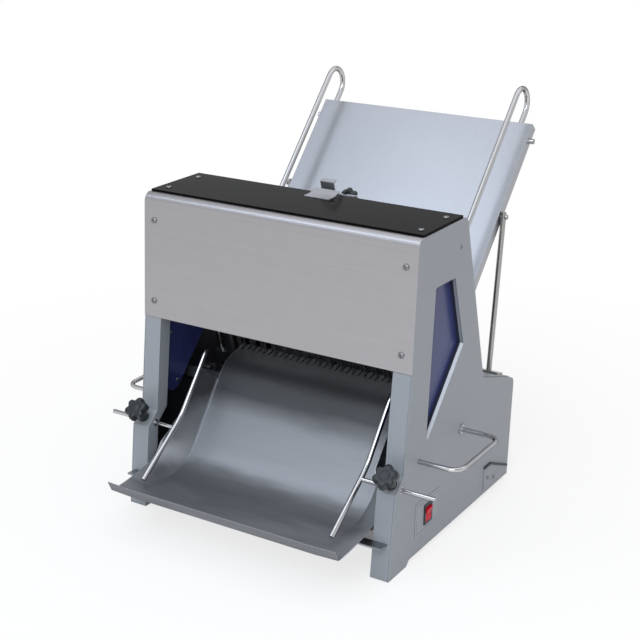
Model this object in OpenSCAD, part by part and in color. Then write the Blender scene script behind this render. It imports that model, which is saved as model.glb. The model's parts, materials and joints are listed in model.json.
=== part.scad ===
// Bench bread slicer with a gravity infeed tray, two opposed blade frames and a curved outfeed chute.
// Millimetres. X runs to the right as seen from the front, Y to the rear, Z up from the floor.
// Side outlines are drawn in Y and Z, with Y counted from the front of the feet.

/* [Body] */
// Width over the two side panels
body_w = 540; // [520:5:600]
// Height of the top cover's upper face above the floor
body_h = 570; // [560:5:600]
// Sheet thickness of the side panels
panel_t = 2; // [1.5:0.5:3]
// Width of the folded rim around each side panel
rim_w = 20; // [16:1:24]
// Depth of the body at its foot, from the front of the feet
base_depth = 461; // [450:1:490]
// Length of the sole under each front post
foot_len = 61; // [50:1:80]
// Height of the panel's lower edge behind the sole
foot_rise = 9; // [6:1:14]
// Radius of the panel's outer corners
corner_r = 14; // [8:1:20]

/* [Front posts] */
// Width of a post's front face
post_w = 35; // [30:1:40]
// Depth of the fold on a post's inner side
post_return = 28; // [28:1:34]
// Backward lean of the posts in degrees
post_lean = 6.5; // [4:0.5:8]
// Height of the step in the posts
jog_z = 150; // [140:1:170]
// How far the posts step back there
jog_depth = 26.5; // [22:0.5:34]
// Slope of the step's face in degrees
jog_slope = 41.5; // [35:0.5:50]
// Radius of the step's two bends
jog_r = 5; // [3:1:8]

/* [Rear box] */
// Height of the rear box at its rear edge
box_h = 202; // [190:1:215]
// How far the rear edge leans out towards its top
rear_flare = 9; // [4:1:14]
// Where the rear slope meets the rear box, as a share of the depth
notch_share = 0.7267; // [0.71:0.005:0.74]
// Height at which the rear slope meets the rear box
notch_z = 247; // [235:1:260]
// Forward lean of the rear slope and of the blades in degrees
back_lean = 16; // [14:0.5:18]

/* [Covers] */
// Thickness of the steel covers
cover_t = 1.5; // [1:0.5:2]
// Height of the front cover's lower edge
cover_z = 345; // [330:1:360]
// Backward lean of the front cover in degrees
cover_lean = 3.3; // [2:0.1:5]
// Thickness of the smoked top cover
top_t = 5; // [4:1:6]
// Height of the header above the loaf opening
header_h = 75; // [60:1:90]
// Length of a cooling slot in the rear cover
vent_len = 60; // [40:1:80]
// Width of a cooling slot
vent_w = 5; // [3:0.5:7]

/* [Windows] */
// Depth of the fold around a window
window_return = 10; // [6:1:14]
// How far the blue panel reaches past the window
window_margin = 22; // [18:1:24]
// Thickness of the blue panel
window_t = 3; // [2:0.5:4]

/* [Outfeed chute] */
// Distance of the chute's side creases from the body's sides
chute_side = 82; // [76:1:84]
// Sheet thickness of the chute
chute_t = 1.5; // [1:0.5:2]
// How far the lip's bend stands in front of the feet
lip_reach = 95; // [80:1:110]
// Height of the lip's bend
lip_z = 73.5; // [70:0.5:80]
// Length of the lip above its bend
lip_h = 22; // [15:1:30]
// Angle of the lip above the horizontal in degrees
lip_angle = 63.5; // [50:0.5:80]
// Depth of the chute's low bend
chute_low_y = 62; // [55:1:70]
// Height of the chute's low bend
chute_low_z = 66; // [62:1:72]
// Radius of the low bend
chute_low_r = 90; // [70:1:100]
// Radius of the bend below the comb
chute_high_r = 60; // [40:1:70]
// Length of the comb's flat, measured forward
comb_run = 62; // [50:1:70]
// Rise of the comb's flat
comb_rise = 16; // [10:1:22]
// Width of a comb slot
slot_w = 4; // [3:0.5:5]
// Height of the chute's sides at their highest
wing_h = 58; // [50:1:64]
// Height of the chute's sides at their rear end
wing_rear_h = 45; // [35:1:50]

/* [Loaf guides] */
// Diameter of the guide rods
guide_d = 9; // [8:0.5:9]
// Diameter of the guides' arms
arm_d = 7.5; // [6:0.5:7.5]
// Distance of each guide rod from the body's side
guide_in = 77; // [74:1:85]
// How far each arm's outer end stands out of the body's side
arm_out = 62; // [50:1:75]
// Length of a guide rod's straight stretch above its bend
guide_up = 118; // [100:1:120]
// Length of a guide rod below its arm
guide_down = 113; // [95:1:115]
// Angle of a guide rod below its bend in degrees
guide_angle = 35.3; // [34:0.1:36.5]
// Further turn of a guide rod in its bend in degrees
guide_turn = 16; // [12:1:18]
// Radius of a guide rod's bend
guide_bend_r = 100; // [80:5:120]

/* [Star knobs] */
// Diameter of a guide knob over its lobes
knob_d = 44; // [36:1:48]
// Height of a guide knob's head
knob_h = 16; // [12:1:20]
// Height of a guide knob's neck
knob_neck = 22; // [18:1:28]
// Diameter of the clamp screws
knob_screw_d = 8; // [6:1:10]
// Diameter of the hold-down knob over its lobes
small_knob_d = 32; // [28:1:36]

/* [Infeed tray] */
// Distance of the tray's sides from the body's sides
tray_side = 46; // [40:1:50]
// Slope of the tray in degrees
tray_angle = 47.5; // [46:0.5:49]
// How far the tray's top edge is behind the base
tray_back = 139; // [120:1:158]
// Height of the tray's top edge
tray_top_z = 651; // [635:1:665]
// Sheet thickness of the tray
tray_t = 1.5; // [1:0.5:2]
// Depth of the tray's turned-down sides
tray_flange = 18; // [16:1:22]
// Distance of the left rail from the body's side as it is set
left_rail_in = 64; // [62:1:90]
// Distance of the right rail from the body's side as it is set
right_rail_in = 74.5; // [62:0.5:90]
// Diameter of the rails and of the rod they slide on
rail_d = 10; // [8:1:10]
// Height of a rail's axis above the tray
rail_h = 47; // [40:1:55]
// How far the rail's bend stands past the tray's top edge
rail_past = 28; // [20:1:32]
// Distance of the cross rod from the tray's top edge
cross_back = 30; // [25:1:40]
// Depth of the cross rod's axis under the tray
cross_drop = 11; // [11:0.5:12]
// Length of a rail's lower leg along the tray
rail_len = 440; // [380:1:450]
// Diameter of the struts
strut_d = 10; // [8:1:12]
// Distance of a strut's bolt from the tray's top edge
strut_back = 185; // [160:1:210]
// Distance of a strut's foot from the notch, along the rear deck
strut_foot = 116; // [95:1:120]

/* [Blades] */
// Distance between neighbouring blades, which is the slice thickness
blade_pitch = 12; // [10:0.5:12]
// Least room from the blade frames' uprights to the outer blades
blade_room = 20; // [12:1:22]
// Width of a blade
blade_w = 10; // [8:1:12]
// Thickness of a blade
blade_t = 0.8; // [0.6:0.1:1]
// Stroke of the blade frames
stroke = 40; // [30:1:40]
// Distance of the blade plane from the rear slope
blade_set = 86; // [80:1:90]
// Distance of the blade frames' sides from the body's sides
frame_side = 55; // [53:1:58]
// Height of the frames' beams
beam_h = 16; // [12:1:18]
// Thickness of the frames
beam_d = 10; // [8:1:10]
// Gap between the two frames
frame_gap = 12; // [12:1:14]
// Diameter of the frames' guide shafts
shaft_d = 12; // [10:1:12]

/* [Drive] */
// Length of a connecting rod between its centres
rod_len = 75; // [70:1:80]
// Thickness of a connecting rod
rod_t = 8; // [6:1:10]
// Diameter of the crankshaft
crank_d = 25; // [20:1:28]
// Outer radius of the crank pulley, as a share of the shafts' distance
crank_pulley_share = 0.58; // [0.5:0.01:0.6]
// Outer radius of the motor pulley, as a share of the shafts' distance
motor_pulley_share = 0.27; // [0.24:0.01:0.3]
// Width of the pulleys
pulley_w = 20; // [16:1:24]
// Diameter of the motor
motor_d = 118; // [100:1:120]
// Length of the motor
motor_len = 170; // [140:1:180]
// Distance of the motor's axis from the rear of the base
motor_back = 69; // [66:1:76]
// Height of the motor's axis
motor_z = 90; // [85:1:100]

/* [Handles and switch] */
// Diameter of the handle rods
handle_d = 8; // [7:0.5:10]
// How far a handle stands out from its panel, to its axis
handle_out = 75; // [60:1:90]
// Distance between a handle's two legs
handle_span = 155; // [120:1:160]
// Depth of a handle's front leg
handle_y = 95; // [90:1:110]
// Height of the handles
handle_z = 181; // [178:1:186]
// Radius of a handle's corners
handle_r = 22; // [15:1:30]
// Length of the switch plate
switch_plate_l = 88; // [70:1:95]
// Height of the switch plate
switch_plate_h = 61; // [50:1:70]
// Depth of the switch's axis
switch_y = 132; // [128:1:136]
// Height of the switch's axis
switch_z = 71; // [66:1:76]
// Length of the rocker
rocker_l = 28; // [24:1:32]
// Width of the rocker
rocker_w = 19; // [16:1:22]
// Tilt of the rocker to either side in degrees
rocker_tilt = 8; // [5:1:10]

/* [Crumb drawer] */
// Distance of the drawer's sides from the body's sides
drawer_side = 70; // [65:5:90]
// Room between the drawer and the crank bearings
drawer_room = 40; // [35:1:70]
// Height of the drawer
drawer_h = 34; // [25:1:38]

/* [Hidden] */
// Clearances and cuts
run_fit = 0.05;
seat_fit = 0.02;
part_gap = 0.3;
hole_gap = 0.15;
overrun = 1;
$fn = 64;
arc_steps = 8;

// Colours
panel_grey = [0.60, 0.63, 0.67];
steel = [0.72, 0.72, 0.73];
dark_steel = [0.45, 0.46, 0.48];
chrome = [0.82, 0.82, 0.83];
smoke = [0.10, 0.10, 0.11, 0.9];
blue = [0.20, 0.21, 0.48];
black = [0.09, 0.10, 0.11];
red = [0.80, 0.10, 0.16];
cast = [0.35, 0.37, 0.40];
rubber = [0.12, 0.12, 0.12];

// Plane geometry
function unit(v) = v / norm(v);
function turn_left(v) = [-v.y, v.x];
function along(a) = [cos(a), sin(a)];
function wrap(a) = a > 180 ? a - 360 : a < -180 ? a + 360 : a;
function flat(p) = [p[0], p[1]];
function reversed(list) = [for (i = [len(list) - 1:-1:0]) list[i]];

// Points of a corner at b between a and c, cut to an arc of radius r
function corner(a, b, c, r) =
    r == 0 ? [b] :
    let (
        u = unit(a - b),
        v = unit(c - b),
        half = acos(u * v) / 2,
        centre = b + unit(u + v) * r / sin(half),
        from = b + u * r / tan(half) - centre,
        to = b + v * r / tan(half) - centre,
        start = atan2(from.y, from.x),
        sweep = wrap(atan2(to.y, to.x) - start)
    )
    [for (i = [0:arc_steps]) centre + r * along(start + sweep * i / arc_steps)];

// Closed outline and open path through corners given as [y, z, radius]
function outline(list) = let (n = len(list)) [
    for (i = [0:n - 1]) each corner(
        flat(list[(i + n - 1) % n]), flat(list[i]), flat(list[(i + 1) % n]), list[i][2]
    )
];
function path(list) = let (n = len(list)) concat(
    [flat(list[0])],
    [for (i = [1:n - 2]) each corner(flat(list[i - 1]), flat(list[i]), flat(list[i + 1]), list[i][2])],
    [flat(list[n - 1])]
);

// The same points moved to the left of their direction by d
function miter(u, v, d) = d * (turn_left(u) + turn_left(v)) / (1 + u * v);
function inset(list, d) = let (n = len(list)) [
    for (i = [0:n - 1])
        let (u = unit(list[i] - list[(i + n - 1) % n]), v = unit(list[(i + 1) % n] - list[i]))
        list[i] + miter(u, v, d)
];
function beside(list, d) = let (n = len(list)) [
    for (i = [0:n - 1])
        let (
            u = unit(list[max(i, 1)] - list[max(i, 1) - 1]),
            v = unit(list[min(i, n - 2) + 1] - list[min(i, n - 2)])
        )
        list[i] + miter(u, v, d)
];
function strip(list, d) = concat(list, reversed(beside(list, d)));

// Front edge of the panels
half_w = body_w / 2;
chute_w = body_w - 2 * chute_side;
tray_w = body_w - 2 * tray_side;
frame_w = body_w - 2 * frame_side;
drawer_w = body_w - 2 * drawer_side;
guide_x = half_w - guide_in;
arm_end_x = half_w + arm_out;
left_rail_x = half_w - left_rail_in;
right_rail_x = half_w - right_rail_in;
web_x = half_w - panel_t;
post_x = half_w - post_w;
panel_top = body_h - top_t;
jog_low = [jog_z * tan(post_lean), jog_z];
jog_top = jog_low + jog_depth * [1, tan(jog_slope)];
cover_foot = [jog_top.x + (cover_z - jog_top.y) * tan(post_lean), cover_z];
front_top = [cover_foot.x + (panel_top - cover_z) * tan(cover_lean), panel_top];
front_end_share = 0.92;
front_end = cover_foot + front_end_share * (front_top - cover_foot);

// Rear edge of the panels, with the rear slope's length and the rear deck's
back_len = (panel_top - notch_z) / cos(back_lean);
notch = [notch_share * base_depth, notch_z];
back_top = [notch.x - back_len * sin(back_lean), panel_top];
box_top = [base_depth + rear_flare, box_h];
deck_angle = atan2(box_top.y - notch.y, box_top.x - notch.x);
deck_len = norm(box_top - notch);

panel_outline = outline([
    [0, 0, 0],
    [foot_len, 0, 0],
    [foot_len + foot_rise, foot_rise, 0],
    [base_depth, foot_rise, 0],
    [box_top.x, box_top.y, corner_r],
    [notch.x, notch.y, 0],
    [back_top.x, back_top.y, corner_r],
    [front_top.x, front_top.y, corner_r],
    [cover_foot.x, cover_foot.y, 0],
    [jog_top.x, jog_top.y, jog_r],
    [jog_low.x, jog_low.y, jog_r]
]);
post_path = path([
    [0, 0, 0],
    [jog_low.x, jog_low.y, jog_r],
    [jog_top.x, jog_top.y, jog_r],
    [cover_foot.x, cover_foot.y, 0],
    [front_end.x, front_end.y, 0]
]);

// Window, as shares of the body's depth and height
window_shares = [[0.258, 0.356], [0.536, 0.598], [0.449, 0.823], [0.297, 0.826]];
window_corner_r = 4;
window_outline = outline([
    for (s = window_shares) [s.x * base_depth, s.y * body_h, window_corner_r]
]);
window_corners = [for (s = window_shares) [s.x * base_depth, s.y * body_h]];
window_panel_r = 23;
window_panel_outline = outline([for (p = inset(window_corners, -window_margin)) [p.x, p.y, window_panel_r]]);
window_x = web_x - window_return - window_t;
window_screw_share = 0.45;
window_screw_places = [0.03, 0.5, 0.5, 0.65];
window_screws = [
    for (i = [0:len(window_corners) - 1])
        let (a = window_corners[i], b = window_corners[(i + 1) % len(window_corners)])
        a + window_screw_places[i] * (b - a) - window_screw_share * window_margin * turn_left(unit(b - a))
];
window_stud_d = 8;

// Screws: head diameter, head height, shank diameter, length of shank
cover_screw = [11, 3, 5, 10];
small_screw = [7, 2, 3, 5];
cover_screw_in = 21;
cover_screw_up = 30;
cover_screw_down = 45;
top_screw_in = 20;
top_screw_edge = 26;
deck_edge_in = 8;

// Arm of a guide, under the middle of the step's face
arm_along = 17;
arm_deep = 12;
arm_at = jog_low + arm_along * along(jog_slope) + arm_deep * [sin(jog_slope), -cos(jog_slope)];
bush_d = 13;
knob_in = 15;
bead_l = 3;
bead_rise = 0.2;
knob_x = half_w - knob_in;
knob_tip_gap = 0.3;
lobes = 6;
lobe_share = 0.28;
hub_share = 0.78;
head_share = 0.78;
knob_neck_d = 20;

// Blade plane: w runs square to it towards the rear, v up along it
blade_at = notch - blade_set * along(back_lean);
function blade_point(w, v) = blade_at + w * along(back_lean) + v * turn_left(along(back_lean));
frame_clear = 10;
frame_low = -47;
frame_top = (panel_top - frame_clear - blade_at.y) / cos(back_lean) - (stroke + beam_h) / 2
    - (beam_d + frame_gap / 2) * tan(back_lean);
frame_mid_w = (frame_gap + beam_d) / 2;
upright_w = 12;
ear_w = 26;
ear_d = 20;
ear_h = 24;
ear_inset = 43;
blade_span = frame_w - 2 * (upright_w + blade_room);
blade_count = 1 + 2 * floor(blade_span / (2 * blade_pitch));
shaft_x = frame_w / 2 + ear_w / 2;
shaft_spare = 6;
shaft_clear = stroke / 2 + shaft_spare;
bracket_gap = 4;
bracket_x = frame_w / 2 + bracket_gap;
bracket_d = 44;
bracket_h = 20;
slit_w = blade_t + 2 * hole_gap;
blade_seat = 3;
blade_edge_w = -frame_gap / 2 - blade_seat;
upper_bracket_v = frame_top - ear_inset + ear_h / 2 + shaft_clear + bracket_h / 2;
lower_bracket_v = frame_low + beam_h - shaft_clear - bracket_h / 2;

// Chute in side view
lip_bend = [-lip_reach, lip_z];
lip_up = [-cos(lip_angle), sin(lip_angle)];
lip_out = [-sin(lip_angle), -cos(lip_angle)];
lip_top = lip_bend + lip_h * lip_up;
lip_fold = 0.25;
lip_line = [lip_top + lip_fold * (lip_up - lip_out), lip_bend - chute_t * lip_up - lip_fold * lip_out];
chute_low = [chute_low_y, chute_low_z];
comb_past = 3.4;
comb_v = 24;
comb_end = blade_point(comb_past, comb_v);
chute_high = comb_end - [comb_run, comb_rise];
lip_r = 3;
chute_path = path([
    [lip_top.x, lip_top.y, 0],
    [lip_bend.x, lip_bend.y, lip_r],
    [chute_low.x, chute_low.y, chute_low_r],
    [chute_high.x, chute_high.y, chute_high_r],
    [comb_end.x, comb_end.y, 0]
]);
comb_angle = atan2(comb_rise, comb_run);
comb_slot_l = 18;

// A point of the chute at a distance s from the lip's bend, as [y, z, slope]
flat_angle = atan2(chute_low.y - lip_bend.y, chute_low.x - lip_bend.x);
steep_angle = atan2(chute_high.y - chute_low.y, chute_high.x - chute_low.x);
low_turn = steep_angle - flat_angle;
low_reach = chute_low_r * tan(low_turn / 2);
high_reach = chute_high_r * tan((steep_angle - comb_angle) / 2);
flat_len = norm(chute_low - lip_bend) - low_reach;
low_len = chute_low_r * low_turn * PI / 180;
steep_len = norm(chute_high - chute_low) - low_reach - high_reach;
low_start = lip_bend + flat_len * along(flat_angle);
low_centre = low_start + chute_low_r * turn_left(along(flat_angle));
steep_start = chute_low + low_reach * along(steep_angle);
function chute_at(s) =
    s < flat_len ? concat(lip_bend + s * along(flat_angle), [flat_angle]) :
    s < flat_len + low_len ?
        let (a = flat_angle + low_turn * (s - flat_len) / low_len)
        concat(low_centre - chute_low_r * turn_left(along(a)), [a]) :
    concat(steep_start + (s - flat_len - low_len) * along(steep_angle), [steep_angle]);

// Sides of the chute: they lie flat at the lip and stand up towards the rear
crease_x = chute_w / 2;
wing_gap = 4;
wing_x = post_x - wing_gap;
wing_flat = 2;
wing_up = 74;
wing_ease = 1.6;
wing_turn_past = 30;
wing_turn_len = flat_len + low_len + wing_turn_past;
wing_len_share = 0.9;
wing_len = flat_len + low_len + wing_len_share * steep_len;
wing_steps = 32;
function wing_angle(s) =
    wing_flat + (wing_up - wing_flat) * pow(max(0, min(1, s / wing_turn_len)), wing_ease);
function wing_height(s) = min(
    (wing_x - crease_x) / cos(wing_angle(s)),
    wing_h - (wing_h - wing_rear_h) * max(0, (s - wing_turn_len) / (wing_len - wing_turn_len))
);
function wing_station(s) =
    let (
        p = chute_at(s),
        up = turn_left(along(p[2])),
        a = wing_angle(s),
        h = wing_height(s),
        foot = [crease_x, p.x - up.x * chute_t / 2, p.y - up.y * chute_t / 2],
        rise = [cos(a), sin(a) * up.x, sin(a) * up.y],
        under = [sin(a), -cos(a) * up.x, -cos(a) * up.y]
    )
    [foot, foot + h * rise, foot + h * rise + chute_t * under, foot + chute_t * under];
wing_overlap = 0.5;
wing_in = 1;

// Chute bracket and cross bars
bracket_t = 3;
chute_bracket_reach = 29;
chute_bracket_in = 12;
chute_bracket_out = 8;
bar_w = 20;
bar_t = 20;
chute_bar_share = 0.92;
tray_bar_w = 16;
tray_bar_up = 27;

// Infeed tray: s runs down from its top edge, h up from its face
tray_top = [base_depth + tray_back, tray_top_z];
function tray_point(s, h) = tray_top - s * along(tray_angle) + h * turn_left(along(tray_angle));
tray_gap = 20;
tray_len = ((tray_top - blade_at) * along(back_lean) - tray_gap) / cos(tray_angle - back_lean);
tray_hem = 4.5;
cross_past = 9;
rail_bend_r = (rail_h + cross_drop) / 2;
rail_bend_at = tray_point(-rail_past, rail_h - rail_bend_r);
eye_d = 17;
eye_w = 20;
strut_gap = 0.3;
strut_x = tray_w / 2 + strut_gap + strut_d / 2;
strut_foot_w = 45;
strut_foot_l = 26;
strut_foot_t = 4;
strut_top_drop = 4;
strut_bolt_down = 8;
strut_bolt_d = 5;
strut_bolt_head = 9;
strut_low = notch + strut_foot * along(deck_angle)
    + (cover_t + strut_foot_t / 2) * turn_left(along(deck_angle));
strut_high = tray_point(strut_back, -strut_top_drop);
strut_bolt_at = strut_high + strut_bolt_down * unit(strut_low - strut_high);

// Hold-down, in the rear slope's own plane: z up the slope from the notch, y outwards
header_top = back_len - corner_r;
hold_x = 12;
hold_w = 90;
hold_t = 2.5;
hold_low = 190;
hold_over = 3;
hold_top = back_len + hold_over;
hold_gap = 0.4;
tab_x = 0;
tab_w = 27;
tab_rise = 20;
tab_fold = 8;
shoe_w = 140;
shoe_len = 70;
hold_knob_x = 33;
hold_knob_up = 9;
hold_knob_z = back_len - hold_knob_up;
ear_half = 20;
hold_travel = 45;
hold_neck = 6;
hold_knob_h = 13;
clip_w = 50;
clip_x = 8;
clip_len = 38;
clip_t = 1.5;
clip_flat_share = 0.5;
clip_rise = 6;

// Top cover
top_front = front_top.x + corner_r + cover_t;
top_rear = back_top.x - corner_r;

// Crank gear, on the blade plane's own axes
lug_drop = 23;
lug_t = 7.5;
lug_w = 18;
lug_gap = 0.5;
wrist_d = 10;
wrist_head = 3;
rod_in = 72;
rod_x = half_w - rod_in;
lug_v = frame_low - lug_drop;
crank_v = lug_v - sqrt(rod_len * rod_len - frame_mid_w * frame_mid_w);
crank_at = blade_point(0, crank_v);
disc_gap = 4;
disc_t = 10;
disc_r = 36;
disc_x = rod_x - disc_gap - disc_t;
pin_d = 16;
pin_gap = 1;
small_end_d = 22;
big_end_d = 32;
rod_w = 9;
bearing_in = 130;
bearing_x = half_w - bearing_in;
bearing_w = 22;
bearing_d = 52;
base_top = foot_rise + 2 * panel_t;
pulley_x = 52;
belt_w = 10;
belt_h = 9;
belt_gap = 0.5;
groove_w = belt_w + 2 * belt_gap;
groove_h = belt_h + belt_gap;
hub_d = 40;
motor_shaft_d = 14;
motor_gap = 32;
motor_x = pulley_x - motor_gap;
bell_len = 24;
bell_share = 0.86;
cradle_share = 0.7;
cradle_w = 100;
motor_at = [base_depth - motor_back, motor_z];
crank_pulley_r = crank_pulley_share * norm(motor_at - crank_at);
motor_pulley_r = motor_pulley_share * norm(motor_at - crank_at);

// Rocker switch
rocker_r = rocker_l / 2;
switch_wall = 2.5;
switch_plate_t = 1;
switch_bezel = 2;
switch_in = 8;
switch_x = half_w - switch_in;

// Inlet plate at the rear lower corner
inlet_shares = [[0, 0], [1, 0], [1, 0.25], [0.26, 1], [0, 1]];
inlet_l = 100;
inlet_h = 44;
inlet_t = 1.5;
inlet_rear_gap = 6;
inlet_low = 16;
edge_w = 4;
edge_t = 3;
inlet_screw_shares = [[0.14, 0.5], [0.4, 0.3]];

// Feet, handles and drawer
pad_d = 32;
pad_in = 45;
pad_back = 41;
nut_d = 20;
nut_t = 6;
washer_d = 18;
washer_t = 3;
drawer_t = 1.5;
drawer_in = 6;
drawer_front = foot_len + foot_rise + drawer_in;
drawer_d = crank_at.x - bearing_d / 2 - drawer_room - drawer_front;
drawer_pull = 12;

// The origin is in the middle of the whole depth
front_most = (lip_top + lip_fold * lip_up + (chute_t + lip_fold) * lip_out).x;
rear_most = rail_bend_at.x + rail_bend_r + rail_d / 2;
mid_y = (front_most + rear_most) / 2;

// Helpers

module place() { translate([0, -mid_y, 0]) children(); }

module mirrored(side) { mirror([side < 0 ? 1 : 0, 0, 0]) children(); }

module both() { for (side = [-1, 1]) mirrored(side) children(); }

// A side outline pushed out along X from x
module profile(x, width) { translate([x, 0, 0]) rotate([90, 0, 90]) linear_extrude(width) children(); }

// A side outline centred on the middle of the machine
module across(width) { profile(-width / 2, width) children(); }

// A cylinder along X at a point of the side view
module pin(at, x, length, d) { translate([x, at.x, at.y]) rotate([0, 90, 0]) cylinder(d = d, h = length); }

// A straight round bar between two points of a plane
module flat_bar(a, b, d) {
    translate([a.x, a.y, 0]) rotate([0, 90, atan2(b.y - a.y, b.x - a.x)]) cylinder(d = d, h = norm(b - a));
}

// Distance from a corner to where its bend of radius r starts
function bend_reach(a, b, c, r) = r / tan(acos(unit(a - b) * unit(c - b)) / 2);

// A round bar bent through the points of a plane
module bent_bar(list, r, d) {
    n = len(list);
    for (i = [0:n - 2]) {
        a = list[i];
        b = list[i + 1];
        from = i == 0 ? a : a + unit(b - a) * bend_reach(list[i - 1], a, b, r);
        to = i == n - 2 ? b : b - unit(b - a) * bend_reach(a, b, list[i + 2], r);
        flat_bar(from, to, d);
    }
    for (i = [1:n - 2]) {
        u = unit(list[i - 1] - list[i]);
        v = unit(list[i + 1] - list[i]);
        half = acos(u * v) / 2;
        centre = list[i] + unit(u + v) * r / sin(half);
        from = list[i] + u * r / tan(half) - centre;
        to = list[i] + v * r / tan(half) - centre;
        sweep = wrap(atan2(to.y, to.x) - atan2(from.y, from.x));
        start = sweep > 0 ? from : to;
        translate([centre.x, centre.y, 0]) rotate([0, 0, atan2(start.y, start.x)])
            rotate_extrude(angle = abs(sweep)) translate([r, 0]) circle(d = d);
    }
}

// Round-headed screw: its head stands on z = 0 and its shank goes down
module screw(size) {
    cylinder(d1 = size[0], d2 = size[0] * head_share, h = size[1]);
    translate([0, 0, -size[3]]) cylinder(d = size[2], h = size[3]);
}

module screw_hole(size) {
    translate([0, 0, -size[3] - overrun]) cylinder(d = size[2] + 2 * hole_gap, h = size[3] + 2 * overrun);
}

// Star knob: the screw goes down from z = 0, the neck and the lobed head stand above it
module star_knob(d, h, neck, neck_d, screw_l) {
    lobe_d = d * lobe_share;
    translate([0, 0, -screw_l]) cylinder(d = knob_screw_d, h = screw_l + neck);
    cylinder(d = neck_d, h = neck);
    translate([0, 0, neck]) linear_extrude(h) {
        circle(d = d * hub_share);
        for (i = [0:lobes - 1]) rotate(i * 360 / lobes) translate([(d - lobe_d) / 2, 0]) circle(d = lobe_d);
    }
}

// Own axes of the front cover's face, of the step's face and of the rear slope
module on_cover(x, z) {
    translate([x, cover_foot.x + (z - cover_z) * tan(cover_lean), z]) rotate([90 - cover_lean, 0, 0])
        translate([0, 0, cover_t]) children();
}
module on_jog() {
    face = arm_at - arm_deep * [sin(jog_slope), -cos(jog_slope)];
    translate([knob_x, face.x, face.y]) rotate([jog_slope, 0, 0]) children();
}
module on_back() { translate([0, notch.x, notch.y]) rotate([back_lean, 0, 0]) children(); }
module on_blades() { translate([0, blade_at.x, blade_at.y]) rotate([back_lean, 0, 0]) children(); }

// Places of the screws
module at_cover_screws() {
    for (x = [cover_screw_in - half_w, half_w - cover_screw_in])
        for (z = [cover_z + cover_screw_up, panel_top - cover_screw_down]) on_cover(x, z) children();
}
module at_top_screws() {
    for (x = [top_screw_in - half_w, half_w - top_screw_in])
        for (y = [top_front + top_screw_edge, top_rear - top_screw_edge])
            translate([x, y, body_h]) children();
}
module at_window_screws() {
    for (p = window_screws) translate([window_x, p.x, p.y]) rotate([0, -90, 0]) children();
}
module at_inlet_screws() {
    for (s = inlet_screw_shares) translate([half_w + inlet_t, inlet_y(s.x), inlet_low + s.y * inlet_h])
        rotate([0, 90, 0]) children();
}
function inlet_y(share) = base_depth - inlet_rear_gap - inlet_l * (1 - share);

// Body

module side_panel(right) {
    difference() {
        union() {
            profile(web_x, panel_t) difference() {
                polygon(panel_outline);
                polygon(window_outline);
            }
            profile(half_w - rim_w, rim_w - panel_t) difference() {
                polygon(panel_outline);
                polygon(inset(panel_outline, panel_t));
            }
            profile(post_x, post_w - rim_w) intersection() {
                polygon(strip(post_path, -panel_t));
                polygon(panel_outline);
            }
            profile(post_x, panel_t)
                polygon(concat(post_path, reversed([for (p = post_path) p + [post_return, 0]])));
            profile(web_x - window_return, window_return) difference() {
                polygon(inset(window_outline, -panel_t));
                polygon(window_outline);
            }
            for (p = window_screws) pin(p, web_x - window_return, window_return, window_stud_d);
        }
        pin(arm_at, post_x - overrun, post_w + 2 * overrun, bush_d + 2 * seat_fit);
        on_jog() translate([0, 0, -arm_deep])
            cylinder(d = knob_screw_d + 2 * hole_gap, h = arm_deep + overrun);
        for (y = [handle_y, handle_y + handle_span])
            pin([y, handle_z], web_x - overrun, panel_t + 2 * overrun, handle_d + 2 * hole_gap);
        at_window_screws() screw_hole(small_screw);
        at_cover_screws() screw_hole(cover_screw);
        at_top_screws() screw_hole(cover_screw);
        if (right) {
            at_inlet_screws() screw_hole(small_screw);
            switch_cut();
        }
    }
}

// Room for the switch housing in the right panel and in the switch plate
module switch_cut() {
    l = rocker_l + 2 * (switch_wall + hole_gap);
    w = rocker_w + 2 * (switch_wall + hole_gap);
    translate([web_x - overrun, switch_y - w / 2, switch_z - l / 2])
        cube([panel_t + switch_plate_t + 2 * overrun, w, l]);
}

module left_side_panel() { color(panel_grey) place() mirrored(-1) side_panel(false); }

module right_side_panel() { color(panel_grey) place() side_panel(true); }

module base_plate() {
    front = foot_len + foot_rise + panel_t;
    color(dark_steel) place() translate([part_gap - web_x, front, foot_rise + panel_t])
        cube([2 * (web_x - part_gap), base_depth - 2 * panel_t - front, panel_t]);
}

module front_cover() {
    face = path([
        [cover_foot.x, cover_foot.y, 0],
        [front_top.x, front_top.y, corner_r],
        [top_front - part_gap, front_top.y, 0]
    ]);
    color(steel) place() difference() {
        across(body_w) polygon(strip(face, cover_t));
        at_cover_screws() screw_hole(cover_screw);
    }
}

module top_cover() {
    color(smoke) place() difference() {
        translate([-web_x, top_front, panel_top]) cube([2 * web_x, top_rear - top_front, top_t]);
        at_top_screws() screw_hole(cover_screw);
    }
}

// Header above the loaf opening, with an ear for the hold-down's knob
module rear_header() {
    color(panel_grey) place() on_back() difference() {
        union() {
            translate([deck_edge_in - half_w, 0, header_top - header_h])
                cube([body_w - 2 * deck_edge_in, cover_t, header_h]);
            translate([hold_knob_x - ear_half, 0, header_top - header_h])
                cube([2 * ear_half, cover_t, hold_top - header_top + header_h]);
        }
        translate([hold_knob_x, -overrun, hold_knob_z]) rotate([-90, 0, 0])
            cylinder(d = knob_screw_d + 2 * hole_gap, h = cover_t + 2 * overrun);
    }
}

// A plate lying outside the panels' rims from one point of the side view to another
module outer_plate(a, b, edge) {
    u = unit(b - a);
    list = [a + edge * u, b - edge * u];
    across(body_w - 2 * deck_edge_in) polygon(strip(list, -cover_t));
}

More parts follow.
